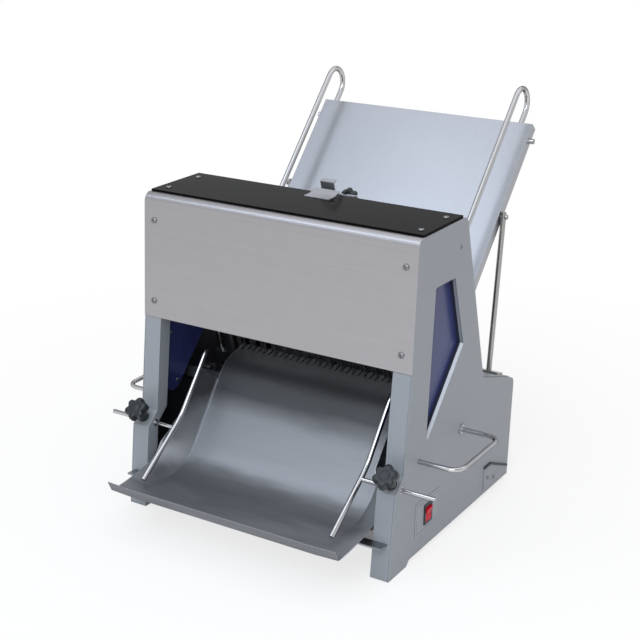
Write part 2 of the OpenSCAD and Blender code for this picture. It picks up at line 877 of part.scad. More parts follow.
// The deck rolls over the box's upper edge and ends a gap above the rear cover
module rear_deck() {
    low = box_top - (corner_r - part_gap) * unit(box_top - [base_depth, foot_rise]);
    high = notch - corner_r * unit(notch - box_top);
    list = path([[low.x, low.y, 0], [box_top.x, box_top.y, corner_r], [high.x, high.y, 0]]);
    color(panel_grey) place() across(body_w - 2 * deck_edge_in) polygon(strip(list, -cover_t));
}

module rear_cover() {
    low = [base_depth, foot_rise];
    vents = 9;
    vent_share = 0.078;
    color(panel_grey) place() difference() {
        outer_plate(low, box_top, corner_r);
        for (i = [0:vents - 1])
            translate([(i - (vents - 1) / 2) * vent_share * body_w - vent_w / 2,
                base_depth - overrun, (box_h - vent_len) / 2])
                cube([vent_w, rear_flare + cover_t + 2 * overrun, vent_len]);
    }
}

module window_panel() {
    difference() {
        profile(window_x, window_t) polygon(window_panel_outline);
        at_window_screws() screw_hole(small_screw);
    }
}

module left_window_panel() { color(blue) place() mirrored(-1) window_panel(); }

module right_window_panel() { color(blue) place() window_panel(); }

module rear_feet() {
    color(rubber) place() both() translate([half_w - pad_in, base_depth - pad_back, 0])
        cylinder(d = pad_d, h = foot_rise + panel_t);
}

// Outfeed

// One rising side of the chute, as a strip swept along its crease
module chute_wing() {
    stations = [for (i = [0:wing_steps]) wing_station((wing_len + wing_in) * i / wing_steps - wing_in)];
    last = 4 * wing_steps;
    polyhedron(
        points = [for (s = stations) each s],
        faces = concat(
            [[0, 1, 2], [0, 2, 3], [last + 2, last + 1, last], [last + 3, last + 2, last]],
            [
                for (i = [0:wing_steps - 1]) for (j = [0:3])
                    let (a = 4 * i + j, b = 4 * i + (j + 1) % 4)
                    each j == 2 ? [[a, a + 4, b + 4], [a, b + 4, b]] : [[a, a + 4, b], [b, a + 4, b + 4]]
            ]
        )
    );
}

module outfeed_chute() {
    color(steel) place() difference() {
        union() {
            across(chute_w + 2 * wing_overlap) polygon(strip(chute_path, -chute_t));
            across(2 * (wing_x + wing_in)) polygon(strip(lip_line, -chute_t - 2 * lip_fold));
            both() chute_wing();
        }
        for (i = [0:blade_count - 1])
            translate([(i - (blade_count - 1) / 2) * blade_pitch, comb_end.x, comb_end.y])
                rotate([comb_angle, 0, 0]) translate([-slot_w / 2, -comb_slot_l, -chute_t - overrun])
                    cube([slot_w, comb_slot_l + overrun, chute_t + 2 * overrun]);
    }
}

module chute_bracket() {
    face = lip_bend + (lip_reach - chute_bracket_reach / 2) * along(flat_angle);
    low = [0, 2 * chute_t + part_gap];
    under = [for (s = [0, 2]) face + s * chute_bracket_reach * along(flat_angle) - low];
    list = strip(under, -bracket_t);
    x = crease_x - chute_bracket_in;
    difference() {
        profile(x, half_w - chute_bracket_out - x) polygon(list);
        profile(x - overrun, post_w + half_w - x)
            polygon(concat(post_path, [[base_depth, panel_top], [base_depth, 0]]));
    }
}

module chute_brackets() { color(dark_steel) place() both() chute_bracket(); }

module chute_bar() {
    p = chute_at(flat_len + low_len + chute_bar_share * steep_len);
    color(dark_steel) place() translate([-web_x, p.x, p.y]) rotate([p[2], 0, 0])
        translate([0, -bar_w / 2, -chute_t - part_gap - bar_t]) cube([2 * web_x, bar_w, bar_t]);
}

// Loaf guides

module guide_bush() {
    difference() {
        pin(arm_at, post_x, post_w, bush_d);
        pin(arm_at, post_x - overrun, post_w + 2 * overrun, arm_d + 2 * run_fit);
        on_jog() translate([0, 0, -arm_deep]) cylinder(d = knob_screw_d + 2 * hole_gap, h = arm_deep);
    }
}

module guide_bushes() { color(dark_steel) place() both() guide_bush(); }

// Rod and arm, drawn along the rod's lower stretch from the arm's axis, with a bead after the bend
module guide() {
    bend_from = 8;
    translate([guide_x, arm_at.x, arm_at.y]) rotate([guide_angle, 0, 0]) rotate([90, 0, 90]) {
        flat_bar([-guide_down, 0], [bend_from, 0], guide_d);
        translate([bend_from, guide_bend_r, 0]) {
            rotate([0, 0, -90]) rotate_extrude(angle = guide_turn)
                translate([guide_bend_r, 0]) circle(d = guide_d);
            rotate([0, 0, guide_turn]) translate([0, -guide_bend_r, 0]) {
                flat_bar([bead_rise, 0], [guide_up, 0], guide_d);
                flat_bar([-bead_l / 2, 0], [bead_l / 2, 0], guide_d + bead_rise);
            }
        }
        cylinder(d = arm_d, h = arm_end_x - guide_x);
    }
}

module left_guide() { color(chrome) place() mirrored(-1) guide(); }

module right_guide() { color(chrome) place() guide(); }

module guide_knob() {
    on_jog() star_knob(knob_d, knob_h, knob_neck, knob_neck_d, arm_deep - arm_d / 2 - knob_tip_gap);
}

module left_guide_knob() { color(black) place() mirrored(-1) guide_knob(); }

module right_guide_knob() { color(black) place() guide_knob(); }

// Infeed

module infeed_tray() {
    plate = [[-tray_len, 0], [0, 0], [0, -tray_hem], [-tray_t, -tray_hem], [-tray_hem, -tray_t],
        [-tray_len, -tray_t]];
    flange = [[-tray_len, 0], [0, 0], [0, -tray_flange], [tray_flange - tray_len, -tray_flange],
        [-tray_len, -tray_t]];
    color(steel) place() difference() {
        translate([0, tray_top.x, tray_top.y]) rotate([tray_angle, 0, 0]) difference() {
            union() {
                across(tray_w) polygon(plate);
                both() profile(tray_w / 2 - tray_t, tray_t) polygon(flange);
            }
            pin([-cross_back, -cross_drop], -tray_w, 2 * tray_w, rail_d + 2 * hole_gap);
        }
        pin(strut_bolt_at, -tray_w, 2 * tray_w, strut_bolt_d + 2 * hole_gap);
    }
}

// Bar under the tray's sides, near the blades
module tray_bar() {
    s = tray_len - tray_bar_up;
    list = [for (p = [[0, 0], [1, 0], [1, 1], [0, 1]])
        tray_point(s + (p.x - 1) * tray_bar_w, -tray_flange - p.y * tray_bar_w)];
    color(dark_steel) place() across(2 * web_x) polygon(list);
}

module rail_cross_rod() {
    length = tray_w + 2 * cross_past;
    color(chrome) place() pin(tray_point(cross_back, -cross_drop), -length / 2, length, rail_d);
}

// Hairpin rail: an eye on the cross rod, a short leg under the tray, a bend and a long leg above it
module rail(x) {
    translate([x, tray_top.x, tray_top.y]) rotate([tray_angle, 0, 0]) rotate([90, 0, 90]) difference() {
        union() {
            translate([-cross_back, -cross_drop, -eye_w / 2]) cylinder(d = eye_d, h = eye_w);
            flat_bar([-cross_back, -cross_drop], [rail_past, -cross_drop], rail_d);
            translate([rail_past, rail_h - rail_bend_r, 0]) rotate([0, 0, -90])
                rotate_extrude(angle = 180) translate([rail_bend_r, 0]) circle(d = rail_d);
            flat_bar([rail_past, rail_h], [-rail_len, rail_h], rail_d);
        }
        translate([-cross_back, -cross_drop, -eye_w]) cylinder(d = rail_d + 2 * run_fit, h = 2 * eye_w);
    }
}

module left_rail() { color(chrome) place() mirrored(-1) rail(left_rail_x); }

module right_rail() { color(chrome) place() rail(right_rail_x); }

module strut() {
    difference() {
        union() {
            translate([strut_x, 0, 0]) rotate([90, 0, 90]) flat_bar(strut_low, strut_high, strut_d);
            translate([strut_x, strut_low.x, strut_low.y]) rotate([deck_angle, 0, 0])
                translate([-strut_foot_w / 2, -strut_foot_l / 2, -strut_foot_t / 2])
                    cube([strut_foot_w, strut_foot_l, strut_foot_t]);
        }
        translate([strut_x, strut_low.x, strut_low.y]) rotate([deck_angle, 0, 0])
            translate([-strut_foot_w, -strut_foot_l, -strut_foot_t / 2 - strut_d])
                cube([2 * strut_foot_w, 2 * strut_foot_l, strut_d]);
        pin(strut_bolt_at, strut_x - strut_d, 2 * strut_d, strut_bolt_d + 2 * hole_gap);
    }
}

module left_strut() { color(chrome) place() mirrored(-1) strut(); }

module right_strut() { color(chrome) place() strut(); }

module strut_bolts() {
    inside = tray_w / 2 - tray_t;
    outside = strut_x + strut_d / 2;
    color(steel) place() both() {
        pin(strut_bolt_at, inside - bracket_t, outside + bracket_t - inside, strut_bolt_d);
        pin(strut_bolt_at, outside, bracket_t, strut_bolt_head);
        pin(strut_bolt_at, inside - bracket_t, bracket_t, strut_bolt_head);
    }
}

// Hold-down

module hold_down() {
    y = cover_t + hold_gap;
    slot_low = hold_knob_z - hold_travel - knob_screw_d;
    shoe_angle = 90 + tray_angle - back_lean;
    color(steel) place() on_back() difference() {
        union() {
            translate([hold_x - hold_w / 2, y, hold_low]) cube([hold_w, hold_t, hold_top - hold_low]);
            translate([tab_x - tab_w / 2, y, hold_low]) cube([tab_w, hold_t, hold_top + tab_rise - hold_low]);
            translate([tab_x - tab_w / 2, y, hold_top + tab_rise - hold_t])
                cube([tab_w, tab_fold + hold_t, hold_t]);
            translate([hold_x - shoe_w / 2, y + hold_t, hold_low]) rotate([shoe_angle - 90, 0, 0])
                translate([0, -shoe_len, -hold_t]) cube([shoe_w, shoe_len, hold_t]);
        }
        translate([hold_knob_x - knob_screw_d / 2 - hole_gap, y - overrun, slot_low])
            cube([knob_screw_d + 2 * hole_gap, hold_t + 2 * overrun, hold_top + tab_rise - slot_low]);
    }
}

module hold_down_knob() {
    out = cover_t + 2 * hold_gap + hold_t;
    color(black) place() on_back() translate([hold_knob_x, out, hold_knob_z]) rotate([-90, 0, 0])
        star_knob(small_knob_d, hold_knob_h, hold_neck, knob_neck_d * hub_share, out + cover_t);
}

// Leaf clip on the top cover, in front of the pull tab
module hold_down_clip() {
    list = [
        [top_rear - clip_len, body_h, 0],
        [top_rear - clip_len * (1 - clip_flat_share), body_h, clip_len],
        [top_rear, body_h + clip_rise, 0]
    ];
    color(chrome) place() profile(clip_x - clip_w / 2, clip_w) polygon(strip(path(list), clip_t));
}

// Handles and fittings

module handle() {
    end = web_x - nut_t;
    far = half_w + handle_out;
    list = [[end, handle_y], [far, handle_y], [far, handle_y + handle_span], [end, handle_y + handle_span]];
    translate([0, 0, handle_z]) bent_bar(list, handle_r, handle_d);
}

module left_handle() { color(chrome) place() mirrored(-1) handle(); }

module right_handle() { color(chrome) place() handle(); }

module handle_nuts() {
    color(dark_steel) place() both() for (y = [handle_y, handle_y + handle_span]) difference() {
        pin([y, handle_z], web_x - nut_t, nut_t, nut_d);
        pin([y, handle_z], web_x - nut_t - overrun, nut_t + 2 * overrun, handle_d + 2 * seat_fit);
    }
}

module handle_washers() {
    at = [handle_y + handle_span, handle_z];
    color(black) place() both() difference() {
        pin(at, half_w, washer_t, washer_d);
        pin(at, half_w - overrun, washer_t + 2 * overrun, handle_d + 2 * seat_fit);
    }
}

module switch_plate() {
    color(steel) place() difference() {
        translate([half_w, switch_y - switch_plate_l / 2, switch_z - switch_plate_h / 2])
            cube([switch_plate_t, switch_plate_l, switch_plate_h]);
        switch_cut();
    }
}

// Housing of the rocker: a box with a round pocket, and a bezel on the plate
module switch_housing() {
    l = rocker_l + 2 * switch_wall;
    w = rocker_w + 2 * switch_wall;
    face = half_w + switch_plate_t;
    depth = face - switch_x + rocker_r + switch_wall;
    pocket_w = rocker_w + 2 * part_gap;
    color(black) place() difference() {
        union() {
            translate([face - depth, switch_y - w / 2, switch_z - l / 2]) cube([depth, w, l]);
            translate([face, switch_y - w / 2 - switch_bezel, switch_z - l / 2 - switch_bezel])
                cube([switch_bezel, w + 2 * switch_bezel, l + 2 * switch_bezel]);
        }
        translate([switch_x, switch_y - pocket_w / 2, switch_z]) rotate([-90, 0, 0])
            cylinder(r = rocker_r + part_gap, h = pocket_w);
        translate([switch_x, switch_y - pocket_w / 2, switch_z - rocker_r - part_gap])
            cube([rocker_r + rocker_l, pocket_w, rocker_l + 2 * part_gap]);
    }
}

// Rocker: a round cut by two planes that meet in a shallow V, stored tilted to one side
module switch_rocker() {
    valley = half_w + switch_plate_t + switch_bezel - switch_x;
    top = valley + rocker_r * tan(rocker_tilt);
    half = rocker_r - top * sin(rocker_tilt);
    color(red) place() translate([switch_x, switch_y - rocker_w / 2, switch_z]) rotate([0, rocker_tilt, 0])
        rotate([-90, 0, 0]) difference() {
            union() {
                cylinder(r = rocker_r, h = rocker_w);
                translate([0, -half, 0]) cube([top, 2 * half, rocker_w]);
            }
            for (a = [-rocker_tilt, rocker_tilt]) translate([valley, 0, -overrun]) rotate([0, 0, a])
                translate([0, a < 0 ? 0 : -2 * rocker_l, 0])
                    cube([rocker_l, 2 * rocker_l, rocker_w + 2 * overrun]);
        }
}

module inlet_plate() {
    list = [for (s = inlet_shares) [inlet_y(s.x), inlet_low + s.y * inlet_h]];
    color(panel_grey) place() difference() {
        profile(half_w, inlet_t) polygon(list);
        at_inlet_screws() screw_hole(small_screw);
    }
}

// Black strip along the plate's upper edge
module inlet_edge_strip() {
    list = [for (i = [4, 3, 2]) [inlet_y(inlet_shares[i].x), inlet_low + inlet_shares[i].y * inlet_h]];
    color(rubber) place() profile(half_w, edge_t) polygon(strip(list, edge_w));
}

// Screws of the front and top covers
module cover_screws() {
    color(steel) place() {
        at_cover_screws() screw(cover_screw);
        at_top_screws() screw(cover_screw);
    }
}

// Screws of the window panels and of the inlet plate
module small_screws() {
    color(steel) place() {
        both() at_window_screws() screw(small_screw);
        at_inlet_screws() screw(small_screw);
    }
}

// Blade frames, drawn at the end of their stroke: the front one up, the rear one down

// Frame with its blades' slits, ears on the guide shafts and a lug for its connecting rod;
// toward is -1 for the front frame and 1 for the rear one
module blade_frame(toward, slits, lug_side) {
    mid = toward * frame_mid_w;
    half = frame_w / 2;
    slit_from = toward > 0 ? mid - beam_d / 2 - overrun : mid + beam_d / 2 - blade_seat;
    translate([0, 0, -toward * stroke / 2]) difference() {
        union() {
            for (v = [frame_low, frame_top]) difference() {
                translate([-half, mid - beam_d / 2, v - beam_h / 2]) cube([frame_w, beam_d, beam_h]);
                for (x = slits) translate([x - slit_w / 2, slit_from, v - beam_h / 2 - overrun])
                    cube([slit_w, blade_seat + overrun, beam_h + 2 * overrun]);
            }
            both() {
                translate([half - upright_w, mid - beam_d / 2, frame_low])
                    cube([upright_w, beam_d, frame_top - frame_low]);
                for (v = [frame_low + beam_h, frame_top - ear_inset - ear_h / 2])
                    translate([half - overrun, mid - ear_d / 2, v]) cube([ear_w + overrun, ear_d, ear_h]);
            }
            mirrored(lug_side) translate([rod_x + rod_t + lug_gap, mid - lug_w / 2, lug_v - lug_w / 2])
                cube([lug_t, lug_w, frame_low - lug_v + lug_w / 2]);
        }
        both() translate([shaft_x, mid, frame_low - stroke])
            cylinder(d = shaft_d + 2 * run_fit, h = frame_top - frame_low + 2 * stroke);
        mirrored(lug_side) translate([rod_x, mid, lug_v]) rotate([0, 90, 0])
            cylinder(d = wrist_d + 2 * seat_fit, h = rod_t + lug_gap + lug_t + overrun);
    }
}

front_slits = [for (i = [0:2:blade_count - 1]) (i - (blade_count - 1) / 2) * blade_pitch];
rear_slits = [for (i = [1:2:blade_count - 1]) (i - (blade_count - 1) / 2) * blade_pitch];

module front_blade_frame() { color(cast) place() on_blades() blade_frame(-1, front_slits, -1); }

module rear_blade_frame() { color(cast) place() on_blades() blade_frame(1, rear_slits, 1); }

// Blades of one frame, seated in its slits
module blades(toward, list) {
    low = toward > 0 ? -blade_edge_w - blade_w : blade_edge_w;
    inside = toward * hole_gap;
    for (x = list) translate([x - blade_t / 2, low - inside, frame_low - beam_h / 2 - toward * stroke / 2])
        cube([blade_t, blade_w, frame_top - frame_low + beam_h]);
}

module front_blades() { color(steel) place() on_blades() blades(-1, front_slits); }

module rear_blades() { color(steel) place() on_blades() blades(1, rear_slits); }

module guide_shafts() {
    low = lower_bracket_v - bracket_h / 2;
    color(chrome) place() on_blades() both() for (w = [-frame_mid_w, frame_mid_w])
        translate([shaft_x, w, low]) cylinder(d = shaft_d, h = upper_bracket_v + bracket_h / 2 - low);
}

module shaft_brackets() {
    color(cast) place() on_blades() both() for (v = [lower_bracket_v, upper_bracket_v]) difference() {
        translate([bracket_x, -bracket_d / 2, v - bracket_h / 2])
            cube([web_x - bracket_x, bracket_d, bracket_h]);
        for (w = [-frame_mid_w, frame_mid_w])
            translate([shaft_x, w, v - bracket_h]) cylinder(d = shaft_d + 2 * seat_fit, h = 2 * bracket_h);
    }
}

// Drive

module crankshaft() {
    end = disc_x + disc_t;
    color(dark_steel) place() pin(crank_at, -end, 2 * end, crank_d);
}

// Discs on the shaft's ends, each with a stub pin that ends just short of its connecting rod
module crank_discs() {
    color(cast) place() for (side = [-1, 1]) mirrored(side) {
        difference() {
            pin(crank_at, disc_x, disc_t, 2 * disc_r);
            pin(crank_at, disc_x - overrun, disc_t + 2 * overrun, crank_d + 2 * seat_fit);
        }
        pin(blade_point(0, crank_v - side * stroke / 2), disc_x + disc_t, disc_gap - pin_gap, pin_d);
    }
}

module crank_bearings() {
    color(cast) place() both() difference() {
        union() {
            pin(crank_at, bearing_x, bearing_w, bearing_d);
            translate([bearing_x, crank_at.x - bearing_d / 2, base_top])
                cube([bearing_w, bearing_d, crank_at.y - base_top]);
        }
        pin(crank_at, bearing_x - overrun, bearing_w + 2 * overrun, crank_d + 2 * run_fit);
    }
}

// Rod from its frame's lug to its crank pin's place; side is -1 for the front frame, 1 for the rear one
module connecting_rod(side) {
    high = blade_point(side * frame_mid_w, lug_v - side * stroke / 2);
    low = blade_point(0, crank_v - side * stroke / 2);
    u = unit(low - high);
    aside = rod_w / 2 * turn_left(u);
    web = [high - aside, low - aside, low + aside, high + aside];
    mirrored(side) difference() {
        union() {
            pin(high, rod_x, rod_t, small_end_d);
            pin(low, rod_x, rod_t, big_end_d);
            profile(rod_x, rod_t) polygon(web);
        }
        pin(high, rod_x - overrun, rod_t + 2 * overrun, wrist_d + 2 * run_fit);
        pin(low, rod_x - overrun, rod_t + 2 * overrun, pin_d + 2 * run_fit);
    }
}

module left_connecting_rod() { color(cast) place() connecting_rod(-1); }

module right_connecting_rod() { color(cast) place() connecting_rod(1); }

module wrist_pin(side) {
    at = blade_point(side * frame_mid_w, lug_v - side * stroke / 2);
    mirrored(side) {
        pin(at, rod_x - lug_gap, rod_t + 2 * lug_gap + lug_t, wrist_d);
        pin(at, rod_x - lug_gap - wrist_head, wrist_head, wrist_d + wrist_head);
    }
}

module wrist_pins_front() { color(chrome) place() wrist_pin(-1); }

module wrist_pins_rear() { color(chrome) place() wrist_pin(1); }

// Grooved pulley with a bore
module pulley(at, r, bore) {
    difference() {
        pin(at, pulley_x, pulley_w, 2 * r);
        difference() {
            pin(at, pulley_x + (pulley_w - groove_w) / 2, groove_w, 2 * (r + overrun));
            pin(at, pulley_x, pulley_w, 2 * (r - groove_h));
        }
        pin(at, pulley_x - overrun, pulley_w + 2 * overrun, bore + 2 * seat_fit);
    }
}

module crank_pulley() { color(cast) place() pulley(crank_at, crank_pulley_r, crank_d); }

module motor_pulley() { color(cast) place() pulley(motor_at, motor_pulley_r, motor_shaft_d); }

module motor_shaft() {
    color(chrome) place()
        pin(motor_at, motor_x - bell_len, pulley_x + pulley_w - motor_x + bell_len, motor_shaft_d);
}

// Outline of a belt at a height above the groove's floor
belt_steps = 36;
function belt_outline(up) =
    let (
        ra = crank_pulley_r - groove_h + up,
        rb = motor_pulley_r - groove_h + up,
        run = motor_at - crank_at,
        turn = atan2(run.y, run.x),
        open = 90 - asin((ra - rb) / norm(run))
    )
    concat(
        [for (i = [0:belt_steps]) crank_at + ra * along(turn + open + (360 - 2 * open) * i / belt_steps)],
        [for (i = [0:belt_steps]) motor_at + rb * along(turn - open + 2 * open * i / belt_steps)]
    );

module drive_belt() {
    color(rubber) place() profile(pulley_x + (pulley_w - belt_w) / 2, belt_w) difference() {
        polygon(belt_outline(belt_h));
        polygon(belt_outline(belt_gap));
    }
}

// Motor on its cradle
module motor() {
    back = motor_x - motor_len;
    color(cast) place() difference() {
        union() {
            pin(motor_at, back + bell_len, motor_len - 2 * bell_len, motor_d);
            pin(motor_at, back, motor_len, motor_d * bell_share);
            translate([back + bell_len, motor_at.x - cradle_w / 2, base_top])
                cube([motor_len - 2 * bell_len, cradle_w, motor_z - base_top - motor_d * (1 - cradle_share)]);
        }
        pin(motor_at, motor_x - bell_len - overrun, bell_len + 2 * overrun, motor_shaft_d + 2 * run_fit);
    }
}

// Crumb drawer

module crumb_drawer() {
    low = base_top + part_gap;
    color(steel) place() {
        difference() {
            translate([-drawer_w / 2, drawer_front, low]) cube([drawer_w, drawer_d, drawer_h]);
            translate([drawer_t - drawer_w / 2, drawer_front + drawer_t, low + drawer_t])
                cube([drawer_w - 2 * drawer_t, drawer_d - 2 * drawer_t, drawer_h]);
        }
        translate([-drawer_w / 2, drawer_front - drawer_pull, low + drawer_h - drawer_t])
            cube([drawer_w, drawer_pull + drawer_t, drawer_t]);
    }
}

left_side_panel();
right_side_panel();
base_plate();
front_cover();
top_cover();
rear_header();
rear_deck();
rear_cover();
left_window_panel();
right_window_panel();
outfeed_chute();
chute_brackets();
chute_bar();
guide_bushes();
left_guide();
right_guide();
left_guide_knob();
right_guide_knob();
infeed_tray();
tray_bar();
rail_cross_rod();
left_rail();
right_rail();
left_strut();
right_strut();
strut_bolts();
hold_down();
hold_down_knob();
hold_down_clip();
left_handle();
right_handle();
handle_nuts();
handle_washers();
switch_plate();
switch_housing();
switch_rocker();
inlet_plate();
inlet_edge_strip();
front_blade_frame();
rear_blade_frame();
front_blades();
rear_blades();
guide_shafts();
shaft_brackets();
crankshaft();
crank_discs();
crank_bearings();
left_connecting_rod();
right_connecting_rod();
wrist_pins_front();
wrist_pins_rear();
crank_pulley();
motor_pulley();
drive_belt();
motor();
motor_shaft();
cover_screws();
small_screws();
rear_feet();
crumb_drawer();
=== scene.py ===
"""Dresses the bread slicer's solids with finishes and fine pieces, and sets them in a plain studio."""

import json
import math

import bmesh
import bpy
from mathutils import Matrix, Vector


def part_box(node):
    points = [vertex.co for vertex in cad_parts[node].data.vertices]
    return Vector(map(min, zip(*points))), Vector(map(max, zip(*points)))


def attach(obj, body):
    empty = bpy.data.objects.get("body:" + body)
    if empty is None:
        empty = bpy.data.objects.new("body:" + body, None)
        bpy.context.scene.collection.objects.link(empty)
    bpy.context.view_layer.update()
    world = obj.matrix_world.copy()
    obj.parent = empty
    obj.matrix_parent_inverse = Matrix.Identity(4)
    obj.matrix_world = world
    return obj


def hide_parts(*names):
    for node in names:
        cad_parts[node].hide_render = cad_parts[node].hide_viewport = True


bl_info = {
    "name": "Bread Slicer",
    "version": (1, 0, 0),
    "blender": (4, 5, 0),
    "location": "View3D > Sidebar > Slicer",
    "description": "Finishes, fine pieces and studio of a bench-top bread slicer",
    "category": "Object",
}

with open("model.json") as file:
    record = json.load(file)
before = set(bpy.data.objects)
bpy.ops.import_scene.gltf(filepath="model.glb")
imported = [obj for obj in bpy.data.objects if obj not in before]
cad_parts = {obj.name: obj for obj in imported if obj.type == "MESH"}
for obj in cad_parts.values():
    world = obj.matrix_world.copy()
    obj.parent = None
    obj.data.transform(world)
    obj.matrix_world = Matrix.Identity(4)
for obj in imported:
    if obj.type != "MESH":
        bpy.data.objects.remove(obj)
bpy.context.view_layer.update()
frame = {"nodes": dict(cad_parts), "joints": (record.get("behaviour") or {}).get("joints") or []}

# Distance from the front feet to the middle of the frame, along Y
MIDDLE = 0.266576

# Distances from the middle plane of the side panels' inner face and of the windows' reveals, where painted
# shade and highlight go; inside the reveals' middle they get a painted shadow
INNER_FACE = (0.2678, 0.2682)
REVEAL = (0.2560, 0.2698)
REVEAL_MIDDLE = 0.2634

# The windows' limits along Y and Z
WINDOW_Y = (-0.155, 0.003)
WINDOW_Z = (0.185, 0.485)


# Properties

class SlicerColours(bpy.types.PropertyGroup):
    """Colours of the slicer's finishes"""

    panel: bpy.props.FloatVectorProperty(
        name="Panels", description="Grey enamel of the housing", subtype="COLOR",
        default=(0.287, 0.307, 0.338), min=0, max=1,
    )
    stainless: bpy.props.FloatVectorProperty(
        name="Front cover", description="Brushed stainless steel", subtype="COLOR",
        default=(0.430, 0.419, 0.433), min=0, max=1,
    )
    chute: bpy.props.FloatVectorProperty(
        name="Chute", description="Ground steel of the outfeed chute", subtype="COLOR",
        default=(0.275, 0.283, 0.302), min=0, max=1,
    )
    tray: bpy.props.FloatVectorProperty(
        name="Tray", description="Satin steel of the infeed tray", subtype="COLOR",
        default=(0.420, 0.428, 0.458), min=0, max=1,
    )
    smoke: bpy.props.FloatVectorProperty(
        name="Top cover", description="Smoked acrylic", subtype="COLOR",
        default=(0.004, 0.004, 0.004), min=0, max=1,
    )
    window: bpy.props.FloatVectorProperty(
        name="Windows", description="Blue window panels", subtype="COLOR",
        default=(0.036, 0.044, 0.155), min=0, max=1,
    )
    chrome: bpy.props.FloatVectorProperty(
        name="Rods", description="Chromed rods", subtype="COLOR",
        default=(0.60, 0.60, 0.605), min=0, max=1,
    )
    knob: bpy.props.FloatVectorProperty(
        name="Knobs", description="Black moulded knobs", subtype="COLOR",
        default=(0.011, 0.015, 0.018), min=0, max=1,
    )
    rocker: bpy.props.FloatVectorProperty(
        name="Rocker", description="Red switch rocker", subtype="COLOR",
        default=(0.60, 0.004, 0.020), min=0, max=1,
    )


class SlicerSizes(bpy.types.PropertyGroup):
    """Sizes of the slicer's fine pieces"""

    edge: bpy.props.FloatProperty(
        name="Sheet edge", description="Radius of the softened sheet edges", unit="LENGTH",
        default=0.0009, min=0.0002, max=0.002,
    )
    knob: bpy.props.FloatProperty(
        name="Guide knobs", description="Width over the lobes of the guide knobs", unit="LENGTH",
        default=0.044, min=0.036, max=0.048,
    )
    small_knob: bpy.props.FloatProperty(
        name="Hold-down knob", description="Width over the lobes of the hold-down knob", unit="LENGTH",
        default=0.032, min=0.028, max=0.036,
    )
    tooth: bpy.props.FloatProperty(
        name="Blade tooth", description="Length of one scallop of the blades", unit="LENGTH",
        default=0.009, min=0.006, max=0.014,
    )
    bite: bpy.props.FloatProperty(
        name="Blade bite", description="Depth of the scallops of the blades", unit="LENGTH",
        default=0.0017, min=0.0005, max=0.0025,
    )
    rivet: bpy.props.FloatProperty(
        name="Panel rivets", description="Width of the rivets on the side panels", unit="LENGTH",
        default=0.008, min=0.005, max=0.012,
    )


class SlicerStudio(bpy.types.PropertyGroup):
    """Floor, light and camera"""

    floor: bpy.props.FloatVectorProperty(
        name="Floor", description="Colour of the floor", subtype="COLOR",
        default=(0.92, 0.92, 0.92), min=0, max=1,
    )
    key: bpy.props.FloatProperty(
        name="Key lamp", description="Power of the lamp in front", unit="POWER", default=58, min=0, max=200,
    )
    fill: bpy.props.FloatProperty(
        name="Fill lamp", description="Power of the lamp at the upper left", unit="POWER",
        default=16.5, min=0, max=200,
    )
    top: bpy.props.FloatProperty(
        name="Top lamp", description="Power of the lamp above", unit="POWER", default=45, min=0, max=200,
    )
    focal: bpy.props.FloatProperty(
        name="Focal length", description="Camera lens in millimetres", default=77.83, min=20, max=200,
    )
    azimuth: bpy.props.FloatProperty(
        name="Azimuth", description="Turn of the camera round the slicer", subtype="ANGLE",
        default=math.radians(31.74),
    )
    elevation: bpy.props.FloatProperty(
        name="Elevation", description="Height of the camera above the horizon", subtype="ANGLE",
        default=math.radians(19.79),
    )
    roll: bpy.props.FloatProperty(
        name="Roll", description="Turn of the camera about its axis", subtype="ANGLE",
        default=math.radians(-0.29),
    )
    eye: bpy.props.FloatVectorProperty(
        name="Eye", description="Place of the camera", subtype="XYZ", unit="LENGTH",
        default=(1.2195, -2.0186, 1.1733),
    )


# Shader tools

class Socket:
    """A node's output: sums, products and comparisons with it add Math nodes"""

    def __init__(self, nodes, output):
        self.nodes = nodes
        self.output = output

    def _math(self, operation, first, second=0.0):
        return self.nodes.node("Math", {"operation": operation}, {0: first, 1: second})

    def __add__(self, other):
        return self._math("ADD", self, other)

    __radd__ = __add__

    def __sub__(self, other):
        return self._math("SUBTRACT", self, other)

    def __rsub__(self, other):
        return self._math("SUBTRACT", other, self)

    def __mul__(self, other):
        return self._math("MULTIPLY", self, other)

    __rmul__ = __mul__

    def __gt__(self, other):
        return self._math("GREATER_THAN", self, other)

    def __lt__(self, other):
        return self._math("LESS_THAN", self, other)

    def __abs__(self):
        return self._math("ABSOLUTE", self)

    def __or__(self, other):
        return self._math("MAXIMUM", self, other)

    def __and__(self, other):
        return self._math("MINIMUM", self, other)

    def within(self, low, high):
        """One between two limits, and nothing outside them"""
        return (self > low) * (self < high)

    def held(self):
        """The value kept between nothing and one"""
        return self.nodes.node("Clamp", {}, {"Value": self})


class Nodes:
    """A node tree under way, with one method that adds any node"""

    def __init__(self, tree):
        self.tree = tree
        tree.nodes.clear()

    def feed(self, target, value):
        """Links a socket to the target, or sets the target's own value"""
        if isinstance(value, Socket):
            self.tree.links.new(value.output, target)
        elif hasattr(target.default_value, "__len__"):
            size = len(target.default_value)
            target.default_value = (list(value) + [1.0])[:size]
        else:
            target.default_value = value

    def node(self, kind, settings, inputs, output=0):
        """Adds a node of any kind, its settings first, and gives one or some of its outputs"""
        made = self.tree.nodes.new("ShaderNode" + kind)
        for key, value in settings.items():
            if key == "stops":
                ramp = made.color_ramp
                while len(ramp.elements) < len(value):
                    ramp.elements.new(1.0)
                for element, (position, colour) in zip(ramp.elements, value):
                    element.position = position
                    element.color = (*colour, 1.0)
            else:
                setattr(made, key, value)
        for key, value in inputs.items():
            self.feed(made.inputs[key], value)
        if isinstance(output, tuple):
            return [Socket(self, made.outputs[key]) for key in output]
        return Socket(self, made.outputs[output]) if made.outputs else None


